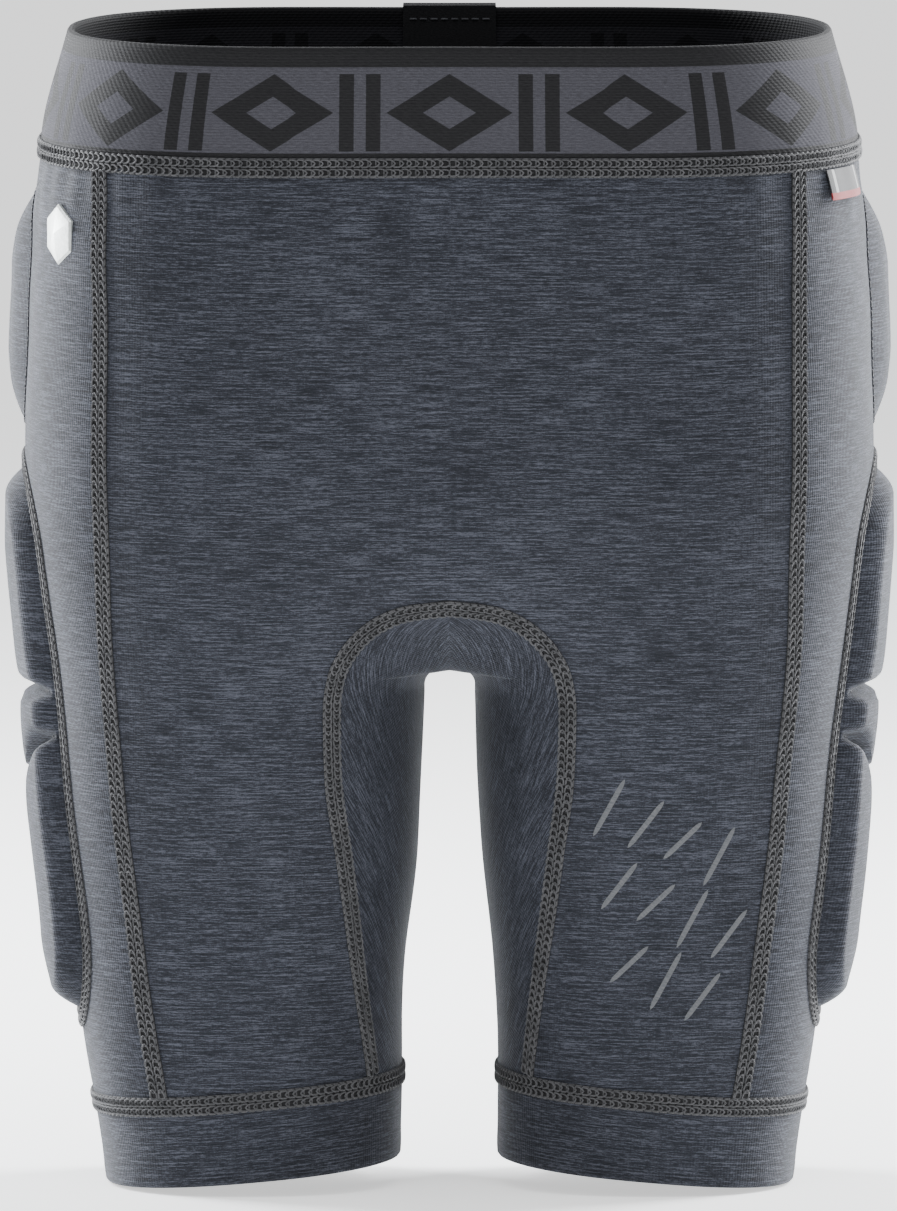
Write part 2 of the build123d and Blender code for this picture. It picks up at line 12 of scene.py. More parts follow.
import bpy
import numpy as np
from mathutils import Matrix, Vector

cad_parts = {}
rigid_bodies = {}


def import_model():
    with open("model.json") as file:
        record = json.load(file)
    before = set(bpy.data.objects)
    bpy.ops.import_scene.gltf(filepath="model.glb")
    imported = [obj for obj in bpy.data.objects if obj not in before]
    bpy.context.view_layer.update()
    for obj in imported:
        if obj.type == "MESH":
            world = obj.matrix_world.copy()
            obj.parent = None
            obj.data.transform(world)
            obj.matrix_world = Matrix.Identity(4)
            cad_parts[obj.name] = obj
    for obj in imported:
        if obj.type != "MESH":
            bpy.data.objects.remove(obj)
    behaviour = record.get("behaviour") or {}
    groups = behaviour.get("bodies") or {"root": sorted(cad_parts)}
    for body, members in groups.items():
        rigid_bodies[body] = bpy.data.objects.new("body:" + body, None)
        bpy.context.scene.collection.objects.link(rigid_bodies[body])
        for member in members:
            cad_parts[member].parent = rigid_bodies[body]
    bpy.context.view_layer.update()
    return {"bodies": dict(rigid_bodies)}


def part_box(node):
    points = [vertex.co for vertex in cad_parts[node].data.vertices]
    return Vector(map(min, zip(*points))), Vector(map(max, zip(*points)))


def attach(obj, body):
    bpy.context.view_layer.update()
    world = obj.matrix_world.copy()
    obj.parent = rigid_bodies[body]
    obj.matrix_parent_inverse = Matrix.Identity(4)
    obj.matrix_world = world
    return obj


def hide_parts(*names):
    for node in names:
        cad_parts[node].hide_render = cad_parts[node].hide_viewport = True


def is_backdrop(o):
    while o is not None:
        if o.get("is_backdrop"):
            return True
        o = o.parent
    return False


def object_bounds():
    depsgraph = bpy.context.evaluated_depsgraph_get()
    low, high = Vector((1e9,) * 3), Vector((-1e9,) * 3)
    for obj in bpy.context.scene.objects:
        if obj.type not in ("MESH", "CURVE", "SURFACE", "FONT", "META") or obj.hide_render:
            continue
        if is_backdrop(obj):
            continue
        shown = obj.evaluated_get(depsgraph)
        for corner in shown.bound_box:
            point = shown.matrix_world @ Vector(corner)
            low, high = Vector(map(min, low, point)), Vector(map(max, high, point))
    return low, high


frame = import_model()
BODY = next(iter(frame["bodies"]))
TAU = 2 * math.pi

# --- Dimensions, in mm ---
WAIST_SEAM = -36.0
CROTCH = -192.0
HEM = -349.0
HEM_X = 103.5  # the hem's outermost X
TILT = math.tan(math.radians(5))  # the hem rises inwards by this slope
CUFF = 25.0  # height of the folded cuff
FABRIC, CUFF_THICK, ELASTIC = 1.2, 1.8, 2.2  # thicknesses
CROTCH_ROUND = 7.0  # height over which the gap between the legs rounds off
PAST_ROOT, PAST_SQUARE, PAST_LIMIT = 16.0, 0.2, 115.0  # how the section passes the centre above the crotch
POWER = 2.3  # exponent of the section's superellipse
SOFTEN = 12.0  # width over which the two halves round off into each other at the centre
CENTRAL_X = 60.0  # the waist's rows follow the rounded-off centre up to this X
RIPPLE, FOLDS, GATHERS = 0.35, 0.25, 0.22  # heights of the fabric's unevenness

SIDE_X = 105.0  # X of the side seam at the hip
PANEL_FOOT_X, SEAM_FOOT_X, GUSSET_FOOT_X = 84.0, 85.0, 20.0  # where panels and seams meet the cuff
ARCH_TOP, ARCH_SHOULDER = -169.0, -200.0
SLANT_SIN, SLANT_COS = 0.45, 0.89  # of the gusset's yarn

SEAM_WIDTH = 6.0
SEAM_STEP = 0.6  # spacing of the points along a seam
SEAM_GAP = 2.5  # from the end of a seam to the middle of the seam that it meets
PITCH, THREAD, EDGE_THREAD = 2.4, 0.3, 0.22  # a flatlock's pitch, and the radii of its threads
CHAIN_PLACE = 1.42  # of the flatlock's looped rows, from its middle
DASH_PITCH, DASH_THREAD = 3.0, 0.28  # of topstitching
TUBE_SIDES = 5

COVER_FOOT = 0.45  # height of a pad's cover at its edge
CROWN_REACH = 26.0  # how far in from the edge a pad's crown goes on rising
GROOVE_FLOOR = 1.6

LOZENGE_PERIOD, LOZENGE_WIDE, LOZENGE_TALL = 54.0, 19.0, 11.5  # with half widths and half heights
LOZENGE_HOLE = 0.42  # share of the lozenge
FIELD_MIDDLE, STRIPE_LOW, LINE_HIGH, LINE_LOW = -19.5, -6.0, -31.6, -33.0  # heights
BAR_PLACE, BAR_HALF = 23.0, 2.2
TAG_RED_TOP, TAG_BAR_PLACE, TAG_BAR_HALF = -46.2, 8.0, 0.7
# the tag's section: height over the panel, and share of its length
TAG_FOLD = [(0.75, 0.0), (1.1, 0.25), (1.5, 0.6), (1.75, 0.9), (1.6, 1.0)]
TAG_FOLD += [(1.25, 0.97), (1.2, 0.7), (0.8, 0.3), (0.3, 0.0)]
BADGE_RINGS = ((9.2, -0.4), (9.2, 0.4), (8.4, 0.9), (0.6, 2.1))  # radius and height
BADGE_BEND = 150.0  # twice the radius to which the badge is bent
FILM_DEPTH = 0.3  # how deep the print reaches into the fabric

# --- Colours ---
YARN_DARK, YARN_MID, YARN_LIGHT = (0.0045, 0.0052, 0.008), (0.0135, 0.0152, 0.0215), (0.057, 0.062, 0.08)

# --- Lights and camera, in metres ---
LIGHT_TARGET = (0, 0, -0.17)
CAMERA_TARGET = (-0.0003, 0, -0.1752)
CAMERA_DISTANCE = 12.0
CAMERA_RISE = math.radians(5.6)
VIEW_HEIGHT = 0.3655


class Curve:
    """A smooth curve through (height, value) pairs that doesn't overshoot."""

    def __init__(self, *pairs):
        self.x, self.y = np.array(sorted(pairs), float).T
        step = np.diff(self.y) / np.diff(self.x)
        self.slope = np.r_[step[0], np.zeros(len(step) - 1), step[-1]]
        for i in range(1, len(step)):
            if step[i - 1] * step[i] > 0:
                self.slope[i] = 2 * step[i - 1] * step[i] / (step[i - 1] + step[i])

    def __call__(self, z):
        z = np.clip(z, self.x[0], self.x[-1])
        i = np.clip(np.searchsorted(self.x, z, "right") - 1, 0, len(self.x) - 2)
        span = self.x[i + 1] - self.x[i]
        t = (z - self.x[i]) / span
        flat = (1 + 2 * t) * (1 - t) ** 2 * self.y[i] + t * t * (3 - 2 * t) * self.y[i + 1]
        return flat + span * (t * (1 - t) ** 2 * self.slope[i] - t * t * (1 - t) * self.slope[i + 1])


OUTER = Curve((0, 115), (-36, 123.5), (-129, 128), (-192, 121.5), (-299, 111), (HEM, HEM_X))
LEG_GAP = Curve((-201, 7.4), (-246, 9.5), (-282, 13.2), (-309, 14.4), (HEM, 15))
CENTRE = Curve((0, 45), (-129, 53), (-192, 61), (-249, 63.5), (HEM, 59.2))
FRONT = Curve((0, 73), (-36, 78), (-129, 82), (-192, 72), (-249, 62), (HEM, 49))
BACK = Curve((0, 75), (-36, 82), (-110, 97), (-160, 94), (-192, 82), (-249, 66), (HEM, 50))
SIDE_SEAM = Curve((-36, SIDE_X), (-120, SIDE_X), (-168, 104), (-229, 99.5), (-290, 92), (HEM, 83))
GUSSET_SEAM = Curve((-197, 35.4), (-221, 35), (-246, 32), (-268, 29), (-313, 23.5), (HEM, 20))
ARCH = [(float(GUSSET_SEAM(z)), z) for z in (-352, -330, -313, -290, -268, -246, -221)]
ARCH += [(35.4, ARCH_SHOULDER), (34.0, -190), (25.0, -176.6), (13.0, -170.6), (0.0, ARCH_TOP)]


# --- The body surface ---
def smooth(t):
    t = np.clip(t, 0, 1)
    return t * t * (3 - 2 * t)


def gathered(count, share):
    """Numbers from 0 to 1 that lie closer together towards both ends."""
    return (1 - np.cos(np.linspace(0, math.pi, count))) / 2 * share + np.linspace(0, 1, count) * (1 - share)


def name_of(side, part):
    """The name of a part on the wearer's left, where side is 1, or right."""
    return ("left_" if side > 0 else "right_") + part


def inner_reach(z):
    """Where the section ends on the inside of the leg: the top of the gap between the legs is round."""
    above = z - CROTCH
    down = np.minimum(above / CROTCH_ROUND + 1, 1)
    rounded = np.sqrt(1 - np.clip(down, 0, 1) ** 2)
    past = -PAST_ROOT * np.sqrt(np.maximum(above, 0)) - PAST_SQUARE * above**2
    return np.where(above >= 0, np.maximum(past, -PAST_LIMIT), LEG_GAP(z) * rounded)


def eased_reach(z):
    """The inner reach that the front and back follow: it passes the crotch without a crease."""
    above = z - CROTCH
    past = np.minimum(0.07 * np.maximum(above + 6, 0) ** 2, PAST_LIMIT)
    return LEG_GAP(z) / (1 + np.exp(np.minimum(above / 6, 40))) - past


def inner_width(u, z):
    """Half the section's width on its inner side, for a point at the share u of the way in."""
    eased = eased_reach(z)
    return CENTRE(z) - eased - (inner_reach(z) - eased) * np.clip(np.abs(u), 0, 1) ** 8


def share_at(x, z):
    """The share of the section's width at this X: 1 outwards, -1 inwards."""
    centre = CENTRE(z)
    u = (x - centre) / np.where(x > centre, OUTER(z) - centre, inner_width(1.0, z))
    for _ in range(24):
        inward = (x - centre) / inner_width(u, z)
        u = np.where(x > centre, u, 0.5 * u + 0.5 * inward)
    return np.clip(u, -1, 1)


def ripple(x, y, z):
    """Slight unevenness that every layer shares: soft ripples, and gathers just under the waistband."""
    soft = RIPPLE * np.sin(z / 11 + 1.3 * np.sin(x / 31)) * np.sin(x / 27 + z / 61 + 0.7)
    folds = FOLDS * np.sin(z / 5.3 + x / 19 + 2 * np.sin(y / 17))
    soft += folds * smooth((z + 110) / 60) * smooth((-z - 30) / 12)
    around = np.arctan2(y, x)
    gathers = GATHERS * np.sin(around * 61 + 2 * np.sin(around * 7)) * np.exp(-np.abs(z - WAIST_SEAM + 7) / 9)
    return soft * smooth((-z - 20) / 25) + gathers


def placed(x, y, nx, ny, z, off, side):
    """A point of one half moved outwards along its normal, and mirrored where side is -1."""
    out = off + ripple(side * x, y, z)
    return np.stack([side * (x + out * nx), y + out * ny, z + 0 * x], -1)


def by_angle(angle, z, off, side=1, lift=0.0):
    """A point of one half by its angle round the leg's section: 0 is outwards, pi inwards, pi/2 the back."""
    angle, z = np.broadcast_arrays(np.asarray(angle, float), np.asarray(z, float))
    centre = CENTRE(z)
    cos, sin = np.cos(angle), np.sin(angle)
    u, v = np.sign(cos) * np.abs(cos) ** (2 / POWER), np.sign(sin) * np.abs(sin) ** (2 / POWER)
    wide = np.where(cos >= 0, OUTER(z) - centre, inner_width(u, z + lift))
    deep = np.where(sin >= 0, BACK(z), FRONT(z))
    nx, ny = np.sign(u) * np.abs(u) ** (POWER - 1) / wide, np.sign(v) * np.abs(v) ** (POWER - 1) / deep
    length = np.hypot(nx, ny)
    return placed(centre + wide * u, deep * v, nx / length, ny / length, z, off, side)


def by_x(x, z, off, front=True):
    """A point of the front or back by its X and height. X may be on either side."""
    x, z = np.broadcast_arrays(np.asarray(x, float), np.asarray(z, float))
    side = np.where(x < 0, -1.0, 1.0)
    soften = SOFTEN * smooth((z - CROTCH - 2) / 25) + 1e-6
    near = np.exp(-np.abs(x) / soften)
    at = np.abs(x) + soften * near
    centre = CENTRE(z)
    u = share_at(at, z)
    wide = np.where(at > centre, OUTER(z) - centre, inner_width(u, z))
    deep = FRONT(z) if front else BACK(z)
    v = (1 - np.abs(u) ** POWER) ** (1 / POWER)
    nx = np.sign(u) * np.abs(u) ** (POWER - 1) / wide * (1 - near)
    ny = v ** (POWER - 1) / deep
    length = np.hypot(nx, ny) + 1e-12
    sign = -1 if front else 1
    return placed(np.abs(x), sign * deep * v, nx / length, sign * ny / length, z, off, side)


def by_y(y, z, off, side=1):
    """A point of one outer side by its Y and height."""
    y, z = np.broadcast_arrays(np.asarray(y, float), np.asarray(z, float))
    deep = np.where(y < 0, FRONT(z), BACK(z))
    share = np.clip(np.abs(y) / deep, 0, 1)
    return by_angle(np.sign(y) * np.arcsin(share ** (POWER / 2)), z, off, side)


def angle_at(x, z, front):
    """The angle of the section's point at this X, for one half."""
    share = share_at(x, z)
    angle = np.arccos(np.sign(share) * np.abs(share) ** (POWER / 2))
    return -angle if front else angle


def hem_line(x, height):
    """The height of a line parallel to the hem, this far above it, at a distance x from the centre."""
    return HEM + height + TILT * (HEM_X - np.abs(x))


# --- Meshes ---
def new_object(name, data):
    thing = bpy.data.objects.new(name, data)
    bpy.context.scene.collection.objects.link(thing)
    return thing


def make_mesh(name, part, material, replaces=None, sharp=40):
    """A piece on the body, from points in mm, faces and weave coordinates.

    It replaces the CAD node of its name, or the nodes given.
    """
    points, faces, weave = part
    mesh = bpy.data.meshes.new(name + "_visual")
    mesh.from_pydata((np.asarray(points) * 0.001).tolist(), [], [tuple(map(int, f)) for f in faces])
    mesh.polygons.foreach_set("use_smooth", [True] * len(mesh.polygons))
    layer = mesh.attributes.new("weave", "FLOAT_VECTOR", "POINT")
    layer.data.foreach_set("vector", np.asarray(weave, np.float32).ravel())
    mesh.update()
    mesh.validate()
    mesh.set_sharp_from_angle(angle=math.radians(sharp))
    mesh.materials.append(material)
    piece = new_object(name + "_visual", mesh)
    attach(piece, BODY)
    nodes = [name] if replaces is None else replaces
    if nodes:
        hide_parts(*nodes)
    return piece


def unit(vectors):
    return vectors / np.linalg.norm(vectors, axis=-1)[..., None]


def grid_faces(rows, cols, start=0, flip=False):
    """The faces of a grid of points that are numbered row by row from start."""
    i, j = np.meshgrid(np.arange(rows - 1), np.arange(cols - 1), indexing="ij")
    low, high = i * cols + j, (i + 1) * cols + j
    quads = np.stack([low, low + 1, high + 1, high], -1).reshape(-1, 4)
    return (quads[:, ::-1] if flip else quads) + start


def wrapped_faces(rows, cols):
    """The faces of a grid whose last row joins on to its first."""
    return grid_faces(rows + 1, cols) % (rows * cols)


def row_lengths(grid):
    """The length along each row of a grid of points, from the row's start."""
    step = np.linalg.norm(np.diff(grid, axis=1), axis=2)
    return np.concatenate([np.zeros((len(grid), 1)), np.cumsum(step, 1)], 1)


def weave_grid(u, v, mark=0.0):
    """Weave coordinates for a grid of points: along the fabric, up it, and a mark that its material reads."""
    return np.stack(np.broadcast_arrays(u, v, mark), -1).reshape(-1, 3)


def slab(outer, inner, u, v):
    """A closed sheet between two grids of points: points, faces and weave coordinates."""
    rows, cols = outer.shape[:2]
    count = rows * cols
    i, j = rows // 2, cols // 2
    normal = np.cross(outer[i, j + 1] - outer[i, j], outer[i + 1, j] - outer[i, j])
    flip = np.dot(normal, outer[i, j] - inner[i, j]) < 0
    faces = [grid_faces(rows, cols, 0, flip), grid_faces(rows, cols, count, not flip)]
    ids = np.arange(count).reshape(rows, cols)
    for edge in (ids[0], ids[-1, ::-1], ids[::-1, 0], ids[:, -1]):
        strip = np.stack([edge[1:], edge[:-1], edge[:-1] + count, edge[1:] + count], -1)
        faces.append(strip[:, ::-1] if flip else strip)
    weave = weave_grid(u, v)
    return np.r_[outer.reshape(-1, 3), inner.reshape(-1, 3)], np.concatenate(faces), np.r_[weave, weave]


def sheet(outer, inner, shift=0.0):
    """A closed sheet whose weave is measured from the middle of each row."""
    along = row_lengths(outer)
    middle = along[:, along.shape[1] // 2][:, None]
    return slab(outer, inner, along - middle + shift, outer[..., 2])


def join(parts):
    """Several (points, faces, weave) in one."""
    points, faces, weaves, start = [], [], [], 0
    for part_points, part_faces, part_weave in parts:
        points.append(part_points)
        faces += (np.asarray(part_faces) + start).tolist()
        weaves.append(part_weave)
        start += len(part_points)
    return np.concatenate(points), faces, np.concatenate(weaves)


# --- Materials ---
class Nodes:
    """A short way to write a material's nodes."""

    def __init__(self, name):
        self.material = bpy.data.materials.new(name)
        self.material.use_nodes = True
        self.tree = self.material.node_tree
        self.shader = self.tree.nodes["Principled BSDF"]

    def add(self, kind, **settings):
        node = self.tree.nodes.new("ShaderNode" + kind)
        for key, value in settings.items():
            setattr(node, key, value)
        return node

    def put(self, value, socket):
        """Link a socket, or set its value. A colour may leave out its alpha."""
        if isinstance(value, bpy.types.NodeSocket):
            self.tree.links.new(value, socket)
        elif isinstance(value, tuple):
            socket.default_value = (*value, 1)
        else:
            socket.default_value = value

    def math(self, operation, a, b=0.0, clamp=False):
        node = self.add("Math", operation=operation, use_clamp=clamp)
        self.put(a, node.inputs[0])
        self.put(b, node.inputs[1])
        return node.outputs[0]

    def total(self, *pairs, plus=0.0):
        """The sum of each value times its weight, plus a number."""
        result = plus
        for value, weight in pairs:
            result = self.math("ADD", self.math("MULTIPLY", value, weight), result)
        return result

    def attribute(self):
        """The weave coordinates as they are, in mm."""
        return self.add("Attribute", attribute_name="weave").outputs["Vector"]

    def split(self):
        """The three weave coordinates, each on its own."""
        node = self.add("SeparateXYZ")
        self.put(self.attribute(), node.inputs[0])
        return node.outputs

    def weave(self, scale_u=1.0, scale_v=1.0, shift=0.0):
        """The weave coordinates scaled along and up, and moved."""
        node = self.add("Mapping")
        node.inputs["Scale"].default_value = (scale_u, scale_v, 1)
        node.inputs["Location"].default_value = (shift, shift, shift)
        self.put(self.attribute(), node.inputs["Vector"])
        return node.outputs[0]

    def noise(self, vector, detail=3.0, rough=0.55):
        node = self.add("TexNoise")
        self.put(vector, node.inputs["Vector"])
        node.inputs["Scale"].default_value = 1.0
        node.inputs["Detail"].default_value = detail
        node.inputs["Roughness"].default_value = rough
        return node.outputs[0]

    def wave(self, direction, scale, distortion=0.0):
        """Ribs across a direction of the weave."""
        node = self.add("TexWave", wave_type="BANDS", bands_direction=direction, wave_profile="SIN")
        self.put(self.weave(), node.inputs["Vector"])
        node.inputs["Scale"].default_value = scale
        node.inputs["Distortion"].default_value = distortion
        return node.outputs["Fac"]

    def ramp(self, value, *stops):
        node = self.add("ValToRGB")
        ramp = node.color_ramp
        while len(ramp.elements) < len(stops):
            ramp.elements.new(0.5)
        for element, (place, colour) in zip(ramp.elements, stops):
            element.position = place
            element.color = (*colour, 1)
        self.put(value, node.inputs[0])
        return node.outputs[0]

    def mix(self, share, a, b):
        """Colour a, or b where share is 1."""
        node = self.add("Mix", data_type="RGBA")
        for value, socket in ((share, 0), (a, 6), (b, 7)):
            self.put(value, node.inputs[socket])
        return node.outputs[2]

    def bump(self, height, strength, distance):
        node = self.add("Bump")
        node.inputs["Strength"].default_value = strength
        node.inputs["Distance"].default_value = distance
        self.put(height, node.inputs["Height"])
        self.put(node.outputs[0], self.shader.inputs["Normal"])

    def finish(self, colour, roughness=0.9, sheen=0.0, sheen_rough=0.45, specular=0.25, tint=(1, 1, 1)):
        self.put(colour, self.shader.inputs["Base Color"])
        self.put(roughness, self.shader.inputs["Roughness"])
        self.put(sheen, self.shader.inputs["Sheen Weight"])
        self.put(sheen_rough, self.shader.inputs["Sheen Roughness"])
        self.put(tint, self.shader.inputs["Sheen Tint"])
        self.put(specular, self.shader.inputs["Specular IOR Level"])
        return self.material


def melange(name, turn=0.0):
    """Heather knit: short streaks of light and dark yarn along the courses, over a fine rib."""
    n = Nodes(name)
    streak = n.noise(n.weave(0.085, 1.9, turn))
    fine = n.noise(n.weave(0.5, 3.4, 7 + turn), 2)
    speck = n.noise(n.weave(2.2, 3.2, 3), 2, 0.6)
    cloud = n.noise(n.weave(0.02, 0.035, 5), 2)
    value = n.total((streak, 0.42), (fine, 0.34), (speck, 0.2), (cloud, 0.06))
    colour = n.ramp(value, (0.405, YARN_DARK), (0.5, YARN_MID), (0.605, YARN_LIGHT))
    rib, course = n.wave("X", 0.32, 0.6), n.wave("Y", 0.4, 0.5)
    n.bump(n.total((rib, 0.6), (course, 0.4), (fine, 0.9)), 0.5, 0.00022)
    rough = n.total((speck, 0.12), plus=0.78)
    return n.finish(colour, rough, sheen=0.16, sheen_rough=0.3, tint=(0.92, 0.95, 1.0))


def thread_material(name, dark, light):
    """Spun thread: fine bands across it, slow changes of tone, and painted shade where the mark is 1."""
    n = Nodes(name)
    ply = n.noise(n.weave(2.6, 2.6), 2)
    slow = n.noise(n.weave(0.15, 0.15, 2))
    # Where the mark is 1, on a flatlock's bed, the value falls to the ramp's near-black stop: painted shade
    # between the loops.
    value = n.math("SUBTRACT", n.total((ply, 0.55), (slow, 0.45)), n.split()[2])
    n.bump(ply, 0.4, 0.0001)
    rough = n.total((slow, 0.2), plus=0.65)
    colour = n.ramp(value, (0.0, (0.008, 0.008, 0.009)), (0.35, dark), (0.65, light))
    return n.finish(colour, rough, sheen=0.15)


def elastic_material():
    """Jacquard elastic: a dark stripe at the top, a grey field with lozenges and bars, a dark line below.

    Its inner side, where the mark is 1, is darker.
    """
    n = Nodes("waist_elastic")
    u, v, inside = n.split()
    turn = n.math("FRACT", n.math("ADD", n.math("DIVIDE", u, LOZENGE_PERIOD), 0.5))
    local = n.math("SUBTRACT", n.math("MULTIPLY", turn, LOZENGE_PERIOD), LOZENGE_PERIOD / 2)
    across = n.math("ABSOLUTE", local)
    up = n.math("ABSOLUTE", n.math("SUBTRACT", v, FIELD_MIDDLE))
    lozenge = n.math("ADD", n.math("DIVIDE", across, LOZENGE_WIDE), n.math("DIVIDE", up, LOZENGE_TALL))
    solid = n.math("LESS_THAN", lozenge, 1.0)
    hole = n.math("LESS_THAN", lozenge, LOZENGE_HOLE)
    beside = n.math("ABSOLUTE", n.math("SUBTRACT", across, BAR_PLACE))
    bar = n.math("MULTIPLY", n.math("LESS_THAN", beside, BAR_HALF), n.math("LESS_THAN", up, LOZENGE_TALL))
    pattern = n.math("ADD", n.math("SUBTRACT", solid, hole), bar, clamp=True)
    top = n.math("GREATER_THAN", v, STRIPE_LOW)
    line = n.math("MULTIPLY", n.math("LESS_THAN", v, LINE_HIGH), n.math("GREATER_THAN", v, LINE_LOW))
    dark_share = n.math("MAXIMUM", n.math("MAXIMUM", pattern, top), line)
    weft = n.noise(n.weave(0.5, 3.2))
    speck = n.noise(n.weave(2.5, 2.5, 4), 2)
    grain = n.total((weft, 0.6), (speck, 0.4))
    field = n.ramp(grain, (0.3, (0.026, 0.026, 0.031)), (0.7, (0.066, 0.065, 0.077)))
    dark = n.ramp(grain, (0.3, (0.006, 0.006, 0.007)), (0.7, (0.017, 0.017, 0.018)))
    cords, twill = n.wave("Y", 0.36), n.wave("DIAGONAL", 0.3)
    n.bump(n.total((cords, 0.5), (twill, 0.35), (dark_share, 0.8)), 0.55, 0.0003)
    rough = n.total((dark_share, -0.15), plus=0.85)
    colour = n.mix(dark_share, field, dark)
    colour = n.mix(n.math("MULTIPLY", inside, 0.8), colour, (0.004, 0.004, 0.005))
    return n.finish(colour, rough, sheen=0.05, sheen_rough=0.3, specular=0.1)


def tape_material():
    n = Nodes("black_tape")
    grain = n.noise(n.weave(1.2, 3.5))
    n.bump(grain, 0.5, 0.0002)
    rough = n.total((grain, 0.3), plus=0.6)
    colour = n.ramp(grain, (0.3, (0.004, 0.004, 0.005)), (0.7, (0.014, 0.014, 0.015)))
    return n.finish(colour, rough, sheen=0.03, specular=0.1)


def film_material(name, dark, light, metallic, roughness):
    n = Nodes(name)
    grain = n.noise(n.weave(1.5, 1.5))
    n.bump(grain, 0.2, 0.0001)
    n.put(metallic, n.shader.inputs["Metallic"])
    rough = n.total((grain, 0.2), plus=roughness)
    return n.finish(n.ramp(grain, (0.3, dark), (0.7, light)), rough, specular=0.5)


def tag_material():
    """Woven tag: a dark ground with a red lower edge and two pale bars."""
    n = Nodes("woven_tag")
    u, v, _ = n.split()
    red = n.math("LESS_THAN", v, TAG_RED_TOP)
    from_bar = n.math("SUBTRACT", n.math("ABSOLUTE", u), TAG_BAR_PLACE)
    pale = n.math("LESS_THAN", n.math("ABSOLUTE", from_bar), TAG_BAR_HALF)
    grain = n.noise(n.weave(3.0, 3.0), 2)
    ground = n.ramp(grain, (0.3, (0.02, 0.02, 0.022)), (0.7, (0.05, 0.05, 0.053)))
    colour = n.mix(pale, ground, (0.3, 0.3, 0.3))
    colour = n.mix(red, colour, (0.2, 0.012, 0.014))
    n.bump(grain, 0.4, 0.0002)
    rough = n.total((grain, 0.2), plus=0.6)
    return n.finish(colour, rough, sheen=0.2)


# --- Fabric ---
def dips(x, z):
    """How far a panel's fabric is pulled in beside its seams, in mm."""
    side = np.abs(np.abs(x) - SIDE_SEAM(z))
    waist = np.abs(z - WAIST_SEAM)
    cuff = np.abs(z - hem_line(x, CUFF))
    near = np.minimum(np.minimum(side, waist), cuff)
    pucker = 0.5 + 0.5 * np.sin(z * TAU / 4.8 + x * TAU / 5.3)
    return -0.25 * np.exp(-((near / 4.0) ** 2)) * (0.5 + pucker)


def side_panel(side):
    """A side panel, from its front seam round the outside to its back seam, down to the cuff."""
    rows, cols = 120, 64
    t, s = np.linspace(0, 1, rows)[:, None], np.linspace(0, 1, cols)[None, :]
    foot = hem_line(SIDE_X, CUFF)
    z = foot + t * (WAIST_SEAM - foot) + 0 * s
    for _ in range(3):
        start, end = angle_at(SIDE_SEAM(z), z, True), angle_at(SIDE_SEAM(z), z, False)
        angle = start + (end - start) * s
        x = np.abs(by_angle(angle, z, 0.0)[..., 0])
        z = hem_line(x, CUFF) + t * (WAIST_SEAM - hem_line(x, CUFF))
    base = by_angle(angle, z, 0.0, side)
    outer = by_angle(angle, z, dips(base[..., 0], z), side)
    inner = by_angle(angle, z, -FABRIC, side)
    make_mesh(name_of(side, "side_panel"), sheet(outer, inner), FABRIC_MATERIAL)


def arch_points(count):
    """Points along half of the gusset's arch, from the cuff to the apex at X = 0."""
    x, z = np.array(ARCH).T
    along = np.r_[0, np.cumsum(np.hypot(np.diff(x), np.diff(z)))]
    curve_x, curve_z = Curve(*zip(along, x)), Curve(*zip(along, z))
    dense = np.linspace(0, along[-1], 600)
    above_cuff = curve_z(dense) > hem_line(curve_x(dense), CUFF)
    length = np.linspace(dense[above_cuff][0], along[-1], count)
    return np.stack([curve_x(length), curve_z(length)], -1)


def front_or_back(front):
    """A panel in two halves that meet at the centre: each runs from the side seam in to the arch or X = 0."""
    rows, cols = 150, 52
    arch = arch_points(400)
    spine = np.r_[arch, np.stack([np.zeros(300), np.linspace(ARCH_TOP, WAIST_SEAM, 301)[1:]], -1)]
    along = np.r_[0, np.cumsum(np.linalg.norm(np.diff(spine, axis=0), axis=1))]
    t = np.linspace(0, 1, rows)
    inner_x = np.interp(t * along[-1], along, spine[:, 0])[:, None]
    inner_z = np.interp(t * along[-1], along, spine[:, 1])[:, None]
    foot = hem_line(PANEL_FOOT_X, CUFF)
    outer_z = (foot + t * (WAIST_SEAM - foot))[:, None]
    s = np.linspace(0, 1, cols)[None, :]
    spread = np.sin(s * math.pi / 2) * 0.35 + s * 0.65
    x = inner_x + (SIDE_SEAM(outer_z) - inner_x) * spread
    z = inner_z + (outer_z - inner_z) * s
    parts = []
    for side in (1, -1):
        base = by_x(side * x, z, 0.0, front)
        outer = by_x(side * x, z, dips(x, z), front)
        inner = by_x(side * x, z, -FABRIC, front)
        parts.append(slab(outer, inner, side * (inner_x + row_lengths(base)), z))
    make_mesh("front_panel" if front else "back_panel", join(parts), FABRIC_MATERIAL)


def slanted(outer, inner, u, z, side):
    """A sheet whose yarn runs at a slant, u mm in from the arch's seam."""
    return slab(outer, inner, (z - SLANT_SIN * u) * side, SLANT_COS * u + SLANT_SIN * z)


